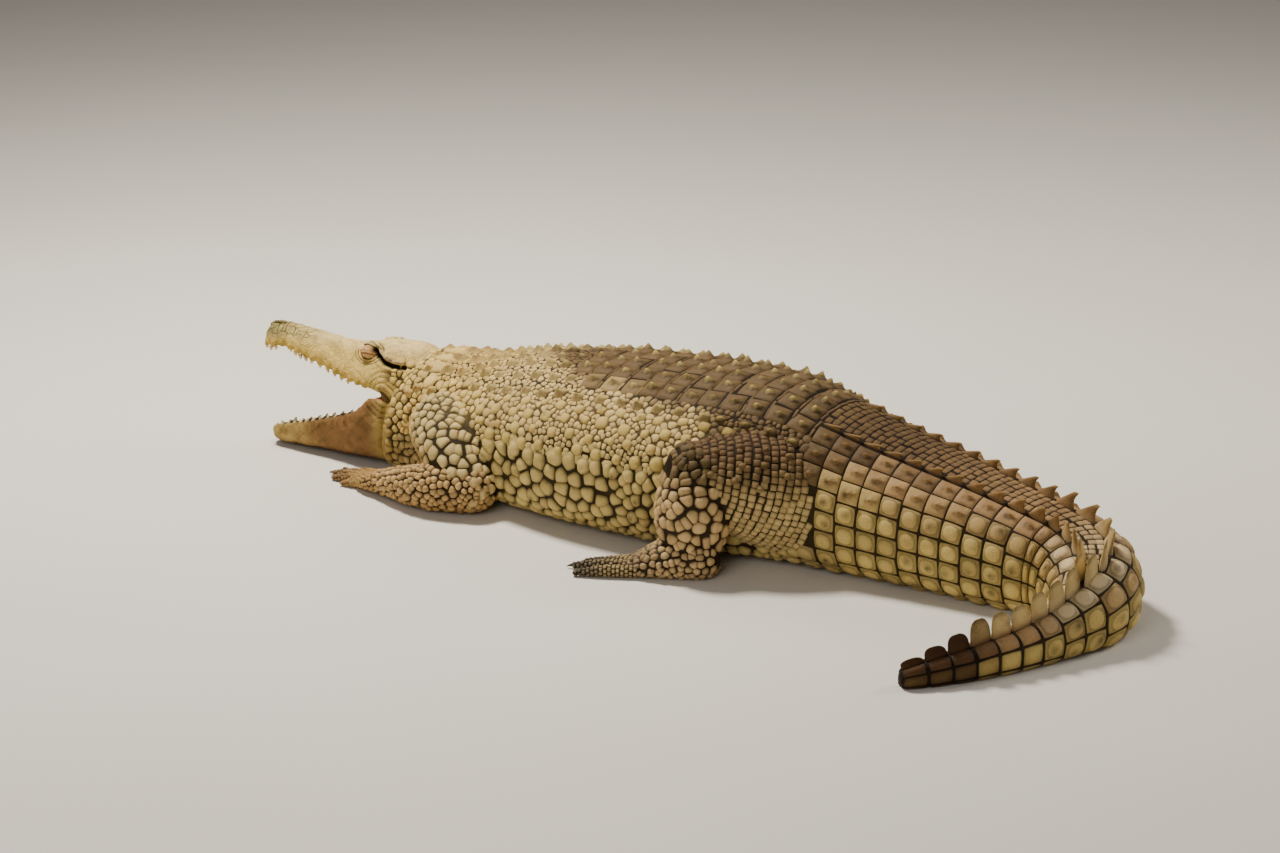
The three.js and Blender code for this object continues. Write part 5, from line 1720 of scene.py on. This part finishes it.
def fin_row(pitch, s0, place, high, rise, paddle, lean, level):
    """One row of a fin's points: how far up it is, and the turn of each point round it."""
    up = max(level, 0)
    spike_front, spike_back = 0.03 + 0.84 * up ** 1.05, 0.95 - 0.4 * up * (1 - up) + 0.1 * up
    paddle_front = 0.02 + 0.56 * (1 - math.sqrt(1 - 0.96 * up ** 2))
    paddle_back = 0.985 + 0.06 * up - 0.26 * (1 - math.sqrt(1 - 0.96 * up ** 5))
    front = spike_front * (1 - paddle) + paddle_front * paddle
    back = spike_back * (1 - paddle) + paddle_back * paddle
    thick = (0.0046 + 0.085 * rise) * (1 - 0.74 * up ** 0.8) * (0.6 if level == 1 else 1)
    u = s0 + pitch * ((front + back) / 2 + (back - front) / 2 * np.cos(FIN_TURN))
    x, y, heading = spine(u)
    width, height, square = smooth_table(BODY, u).T
    crown = height * (1 - WIDEST) - coat_depth(u)
    root = height * WIDEST + crown * (1 - np.abs(2 * place / width) ** square) ** (1 / square)
    across = place + thick * np.sign(np.sin(FIN_TURN)) * np.abs(np.sin(FIN_TURN)) ** 0.7 + lean * up * high
    return np.stack([x - np.sin(heading) * across, y + np.cos(heading) * across, root + level * high], -1)


def lay_crest():
    """Two rows of spikes on the tail's root that join into one row of paddles."""
    coat = Coat("crest")
    sides = len(FIN_TURN)
    n = len(FIN_LEVELS) + 1
    for s0, pitch, middle in whorls():
        rise, spread = smooth_table(CREST, middle)
        paddle = float(ease(middle, 1.02, 1.2))
        tail_end = ease(middle, 1.43, 1.48)
        for side in ((0,) if s0 >= CREST_MERGE - 0.01 else (-1, 1)):
            place, high = side * spread, rise * jitter(1, 0.08)[0] * (1 + 0.22 * paddle) + 0.002
            lean = side * 0.16 * min(1, spread / 0.03)
            base = body_tone(np.array([middle]), np.array([0.1]), body_points(middle, np.array([0.05]))[0])[0]
            own = mixed((150, 124, 88), (214, 194, 148), ease(middle + 0.02 * GRAIN.normal(), 1, 1.16))
            own = mixed(own, (86, 60, 36), tail_end) * jitter(1, 0.1)[0]
            worn_tone = mixed((176, 150, 106), (118, 96, 66), paddle) * (1 - 0.55 * tail_end)
            rings, tones = [], []
            for level in FIN_LEVELS:
                rings.append(fin_row(pitch, s0, place, high, rise, paddle, lean, level))
                shade = 0.34 + 0.66 * ease(level, -0.12, 0.2)
                colour = np.broadcast_to(mixed(base, own, ease(level, 0, 0.45)) * shade, (sides, 3))
                back, front = (ease(way * np.cos(FIN_TURN), 0.6, 0.95) for way in (1, -1))
                worn = 0.75 * ease(level, 0.8, 0.98) + 0.55 * back * ease(level, 0.1,
                    0.4) + 0.35 * front * ease(level, 0.3, 0.6)
                tones.append(mixed(colour, worn_tone, np.clip(worn, 0, 1) * 0.8))
            centre = rings[-1].mean(0)
            rings.append(centre + (rings[-1] - centre) * 0.1 + np.array([0, 0, 0.0004]))
            tones.append(tones[-1])
            points = np.vstack(rings)
            cells = [(r * sides, k, (k + 1) % sides) for r in range(n - 1) for k in range(sides)]
            faces = [(row + k, row + after, row + sides + after, row + sides + k) for row, k, after in cells]
            p, q, t, _ = points[np.array(faces)[25]]
            if np.dot(np.cross(q - p, t - p), p - points.mean(0)) < 0:
                faces = [face[::-1] for face in faces]
            uv = np.array([0.02 + 0.96 * (middle - TAIL_START) / (TAIL_END - TAIL_START), 0.5 + 0.3 * side])
            round_fin = np.stack([np.cos(np.tile(FIN_TURN, n)), np.repeat(np.linspace(-1, 1, n), sides)], -1)
            coat.add(points, faces, np.vstack(tones), np.tile(uv, (n * sides, 1)) + BAKE_DOT * round_fin)
    coat.build("tail_hide")


def curved_cone(bm, root, tip, bend, radius, sides, steps, blunt):
    """A pointed cone from root to tip that bends sideways, for teeth and claws."""
    root, tip, bend = (np.asarray(v, float) for v in (root, tip, bend))
    axis = (tip - root) / np.linalg.norm(tip - root)
    side = np.cross(axis, (0.31, 0.52, 0.79))
    side /= np.linalg.norm(side)
    other = np.cross(axis, side)
    turn = np.linspace(0, 2 * math.pi, sides, endpoint=False)
    rings = []
    for k in range(steps):
        t = k / (steps - 1)
        share = (1 - t) ** 0.75 * (1 - blunt) + blunt if t < 1 else blunt * 0.55
        centre = root + (tip - root) * t + bend * t * t
        rings.append(centre + (np.outer(np.cos(turn), side) + np.outer(np.sin(turn), other)) * radius * share)
    add_loft(bm, rings)


def build_teeth():
    """Worn cone teeth along both jaws."""
    bm = bmesh.new()
    for table, rows, edge_column, up in ((SKULL, UPPER_TEETH, 2, -1), (MANDIBLE, LOWER_TEETH, 1, 1)):
        for a, height, radius in rows:
            for side in (-1, 1):
                wide = column(table, 3, a) * 0.94 - (0.0055 if up > 0 else 0.0035)
                edge = column(table, edge_column, a)
                lean = 0.0015 * GRAIN.normal()
                root = head_point(a, side * wide, edge - up * 0.004)
                tip = head_point(a - 0.0012 + lean, side * (wide + (0.0018 if up < 0 else 0.0006)),
                    edge + up * height * 0.54)
                lean = head_point(a - 0.0016, side * wide, edge) - head_point(a, side * wide, edge)
                curved_cone(bm, root, tip, lean, radius * 1.42, 8, 6, 0.42)
    obj = object_from("teeth", bm)
    co = places_of(obj.data)
    a, _, c = head_place(co)
    lip, rim = column(SKULL, 2, a), column(MANDIBLE, 1, a)
    out = np.where(np.abs(c - lip) < np.abs(c - rim), lip - c, c - rim)
    colour = mixed((196, 166, 110), (244, 232, 196), ease(out, -0.004, 0.0005))
    paint(obj.data, colour)
    finish_piece(obj, tooth_finish())


def build_claws():
    """Three curved claws on each hand and foot."""
    bm = bmesh.new()
    names = []
    for side in ("left", "right"):
        for word, ends, limb in ENDS:
            tips, roots = (posed(ends[key], side, limb)[:3] for key in ("tips", "roots"))
            for i, (tip, root) in enumerate(zip(tips, roots)):
                heading = np.array([tip[0] - root[0], tip[1] - root[1]])
                heading /= np.linalg.norm(heading)
                r = ends["radius"] * 0.62
                start = np.array([tip[0] - heading[0] * 0.003, tip[1] - heading[1] * 0.003, r + 0.0006])
                end = np.array([tip[0] + heading[0] * CLAW_LENGTH, tip[1] + heading[1] * CLAW_LENGTH,
                    r + 0.0004])
                curved_cone(bm, start, end, (0, 0, -r * 0.62), CLAW_RADIUS, 10, 8, 0.1)
                names.append(f"{word}_claw_{side}_{i + 1}")
    for vert in bm.verts:
        vert.co.z = max(vert.co.z, 0.0)
    finish_piece(object_from("claws", bm), claw_finish(), names)


def build_tongue():
    start, end, half, thick = TONGUE
    rings = []
    for t in (0.0, 0.06, 0.16, 0.3, 0.45, 0.6, 0.75, 0.87, 0.95, 1.0):
        a = start + (end - start) * t
        rim, keel, _ = smooth_table(MANDIBLE, a)
        depth = min(MOUTH_FLOOR, (rim - keel) * 0.5)
        share = math.sqrt(max(0.05, 1 - (2 * t - 1) ** 4))
        turn = np.linspace(0, 2 * math.pi, 22, endpoint=False)
        lift = np.maximum(0, np.sin(turn)) * thick * share * (1 - 0.22 * np.exp(-(np.cos(turn) / 0.22) ** 2))
        rings.append(head_point(a, np.cos(turn) * half * share, rim - depth - 0.002 + lift))
    obj = loft_object("tongue_flesh", rings, 1)
    finish_piece(obj, tongue_finish(), ["tongue"])


def build_eyes():
    """Eyeballs behind the closed lids."""
    for side, sign in (("left", 1), ("right", -1)):
        a, b, c, radius = EYE
        obj = egg(a, sign * (b - 0.0012), c, radius * 0.86, radius * 0.74, radius * 0.64)
        obj.name = obj.data.name = f"eyeball_{side}"
        ha, hb, hc = head_place(places_of(obj.data))
        out = ease(np.abs(hb), b + 0.004, b + 0.006)
        ring = np.hypot(ha - a, hc - c)
        colour = mixed((196, 176, 150), (150, 118, 40), out * ease(0.008 - ring, 0, 0.001))
        colour = mixed(colour, (8, 8, 6), out * ease(0.0012 - np.abs(ha - a), 0, 0.0006)
                       * ease(0.007 - ring, 0, 0.001))
        paint(obj.data, colour)
        finish_piece(obj, MADE["eyeball"], [f"eye_{side}"])


def build_ear_flaps():
    """The upper lids of the ears: a curved lens of hide over each slit."""
    for side, sign in (("left", 1), ("right", -1)):
        rings = []
        for i in range(13):
            t = i / 12
            path = np.array(EAR_PATH)
            k = t * (len(path) - 1)
            at = [np.interp(k, np.arange(len(path)), path[:, n]) for n in range(3)]
            swell = math.sin(math.pi * min(1, max(0.02, t * 0.96 + 0.02))) ** 0.6
            turn = np.linspace(0, 2 * math.pi, 12, endpoint=False)
            rings.append(head_point(at[0], sign * (at[1] - 0.0062 + 0.004 * swell * np.cos(turn)),
                at[2] + 0.01 + 0.0048 * swell * np.sin(turn)))
        obj = loft_object(f"ear_lid_{side}", rings, 1)
        co = places_of(obj.data)
        colour = mixed((222, 204, 164), (150, 120, 84), ease(0.5 - waves(co, 0.02, 40), 0.0, 1.0) * 0.4)
        paint(obj.data, colour)
        layer = obj.data.attributes.new("dryness", "FLOAT", "POINT")
        layer.data.foreach_set("value", np.full(len(co), 0.6, np.float32))
        finish_piece(obj, MADE["hide"], [f"ear_flap_{side}"])


# ---- studio -----------------------------------------------------------------------

def build_studio(stage):
    """A pale floor, soft light from above and the camera."""
    bm = bmesh.new()
    bmesh.ops.create_grid(bm, x_segments=1, y_segments=1, size=14.0)
    for vert in bm.verts:
        vert.co.z = -0.0006
    floor = object_from("floor", bm)
    floor.data.materials.append(floor_finish(tuple(stage.floor)))
    world = bpy.data.worlds.new("studio")
    bpy.context.scene.world = world
    world.use_nodes = True
    colour, strength = world.node_tree.nodes["Background"].inputs[:2]
    colour.default_value, strength.default_value = (1.0, 0.965, 0.92, 1.0), stage.fill
    for name, place, size, power, colour in (
            ("key", (-1.5, 0.2, 3.4), 0.8, stage.key, (1.0, 0.93, 0.82)),
            ("front", (1.2, -4.5, 2.6), 3.0, stage.key * 0.28, (1.0, 0.96, 0.9)),
            ("rim", (2.6, 3.0, 2.4), 1.6, stage.key * 0.3, (1.0, 0.94, 0.84))):
        light = bpy.data.lights.new(name, "AREA")
        light.shape, light.size, light.energy, light.color = "DISK", size, power, colour
        lamp = link(bpy.data.objects.new(name, light))
        lamp.location = place
        lamp.rotation_euler = (Vector((0.1, -0.05, 0.1)) - Vector(place)).to_track_quat("-Z", "Y").to_euler()
    camera = bpy.data.cameras.new("camera")
    camera.sensor_width, camera.lens = 36.0, stage.lens
    obj = link(bpy.data.objects.new("camera", camera))
    a, e = stage.azimuth, stage.elevation
    back = Vector((math.sin(a) * math.cos(e), -math.cos(a) * math.cos(e), math.sin(e)))
    obj.location = Vector((0.03, 0.0, 0.165)) + back * stage.distance
    obj.rotation_euler = (-back).to_track_quat("-Z", "Y").to_euler()
    bpy.context.scene.camera = obj


# ---- add-on -----------------------------------------------------------------------

class CrocodileSizes(bpy.types.PropertyGroup):
    """How finely the hide is made."""

    voxel: FloatProperty(name="Hide grain",
        description="Size of the cells that join the body's lengths into one hide", default=0.0035,
        min=0.002, max=0.01, unit="LENGTH")
    blending: IntProperty(name="Joint blending", description="Smoothing rounds where limbs meet the body",
        default=14, min=0, max=80)
    keep: FloatProperty(name="Faces kept", description="Share of the hide's faces kept away from the head",
        default=0.27, min=0.05, max=1.0, subtype="FACTOR")


class CrocodileStage(bpy.types.PropertyGroup):
    """The floor, the lights and the camera."""

    floor: FloatVectorProperty(name="Floor", description="Colour of the studio floor",
        default=(0.80, 0.765, 0.70), subtype="COLOR", min=0, max=1)
    fill: FloatProperty(name="Fill", description="Strength of the even light from all round", default=0.13,
        min=0)
    key: FloatProperty(name="Key", description="Power of the main lamp above", default=225.0, min=0,
        unit="POWER")
    lens: FloatProperty(name="Lens", description="Focal length on a 36 mm sensor", default=98.4375, min=10,
        unit="CAMERA")
    azimuth: FloatProperty(name="Azimuth", description="Camera's turn round the animal",
        default=math.radians(34), subtype="ANGLE")
    elevation: FloatProperty(name="Elevation", description="Camera's height above the horizon",
        default=math.radians(18), subtype="ANGLE")
    distance: FloatProperty(name="Distance", description="Camera's distance", default=7.0, min=1,
        unit="LENGTH")


class MakeHide(bpy.types.Operator):
    """Makes the one hide over head, trunk, tail and limbs"""

    bl_idname = "crocodile.hide"
    bl_label = "Hide"

    def execute(self, context):
        build_hide(context.scene.crocodile_sizes)
        MADE["scale"] = scale_finish()
        MADE["eyeball"] = eye_finish()
        return {"FINISHED"}


class MakeBodyScales(bpy.types.Operator):
    """Lays the scales of the cheeks, the neck, the trunk and the tail"""

    bl_idname = "crocodile.body_scales"
    bl_label = "Body scales"

    def execute(self, context):
        lay_head()
        lay_neck()
        lay_trunk()
        lay_tail()
        return {"FINISHED"}


class MakeLimbScales(bpy.types.Operator):
    """Lays the scales of the arms, legs, hands and feet"""

    bl_idname = "crocodile.limb_scales"
    bl_label = "Limb scales"

    def execute(self, context):
        for part in LIMB_COATS:
            lay_limb(part)
        lay_digits()
        return {"FINISHED"}


class MakeCrest(bpy.types.Operator):
    """Makes the tail's crest"""

    bl_idname = "crocodile.crest"
    bl_label = "Crest"

    def execute(self, context):
        lay_crest()
        return {"FINISHED"}


class MakeHeadPieces(bpy.types.Operator):
    """Makes the teeth, the tongue, the eyes and the ears' lids"""

    bl_idname = "crocodile.head_pieces"
    bl_label = "Teeth, tongue, eyes and ears"

    def execute(self, context):
        build_teeth()
        build_tongue()
        build_eyes()
        build_ear_flaps()
        return {"FINISHED"}


class MakeClaws(bpy.types.Operator):
    """Makes the claws"""

    bl_idname = "crocodile.claws"
    bl_label = "Claws"

    def execute(self, context):
        build_claws()
        return {"FINISHED"}


class MakeStudio(bpy.types.Operator):
    """Makes the floor, the lights and the camera"""

    bl_idname = "crocodile.studio"
    bl_label = "Studio"

    def execute(self, context):
        build_studio(context.scene.crocodile_stage)
        return {"FINISHED"}


class CrocodilePanel(bpy.types.Panel):
    """The crocodile's sizes and pieces"""

    bl_idname = "VIEW3D_PT_crocodile"
    bl_label = "Crocodile"
    bl_space_type = "VIEW_3D"
    bl_region_type = "UI"
    bl_category = "Crocodile"

    def draw(self, context):
        for group in (context.scene.crocodile_sizes, context.scene.crocodile_stage):
            box = self.layout.box()
            for name in group.__annotations__:
                box.prop(group, name)
        for operator in OPERATORS:
            self.layout.operator(operator.bl_idname)


OPERATORS = (MakeHide, MakeBodyScales, MakeLimbScales, MakeCrest, MakeHeadPieces, MakeClaws, MakeStudio)
CLASSES = (CrocodileSizes, CrocodileStage, *OPERATORS, CrocodilePanel)


def register():
    for cls in CLASSES:
        bpy.utils.register_class(cls)
    bpy.types.Scene.crocodile_sizes = PointerProperty(type=CrocodileSizes)
    bpy.types.Scene.crocodile_stage = PointerProperty(type=CrocodileStage)


def unregister():
    del bpy.types.Scene.crocodile_stage
    del bpy.types.Scene.crocodile_sizes
    for cls in reversed(CLASSES):
        bpy.utils.unregister_class(cls)


def main():
    register()
    for operator in OPERATORS:
        group, name = operator.bl_idname.split(".")
        getattr(getattr(bpy.ops, group), name)()


if __name__ == "__main__":
    main()
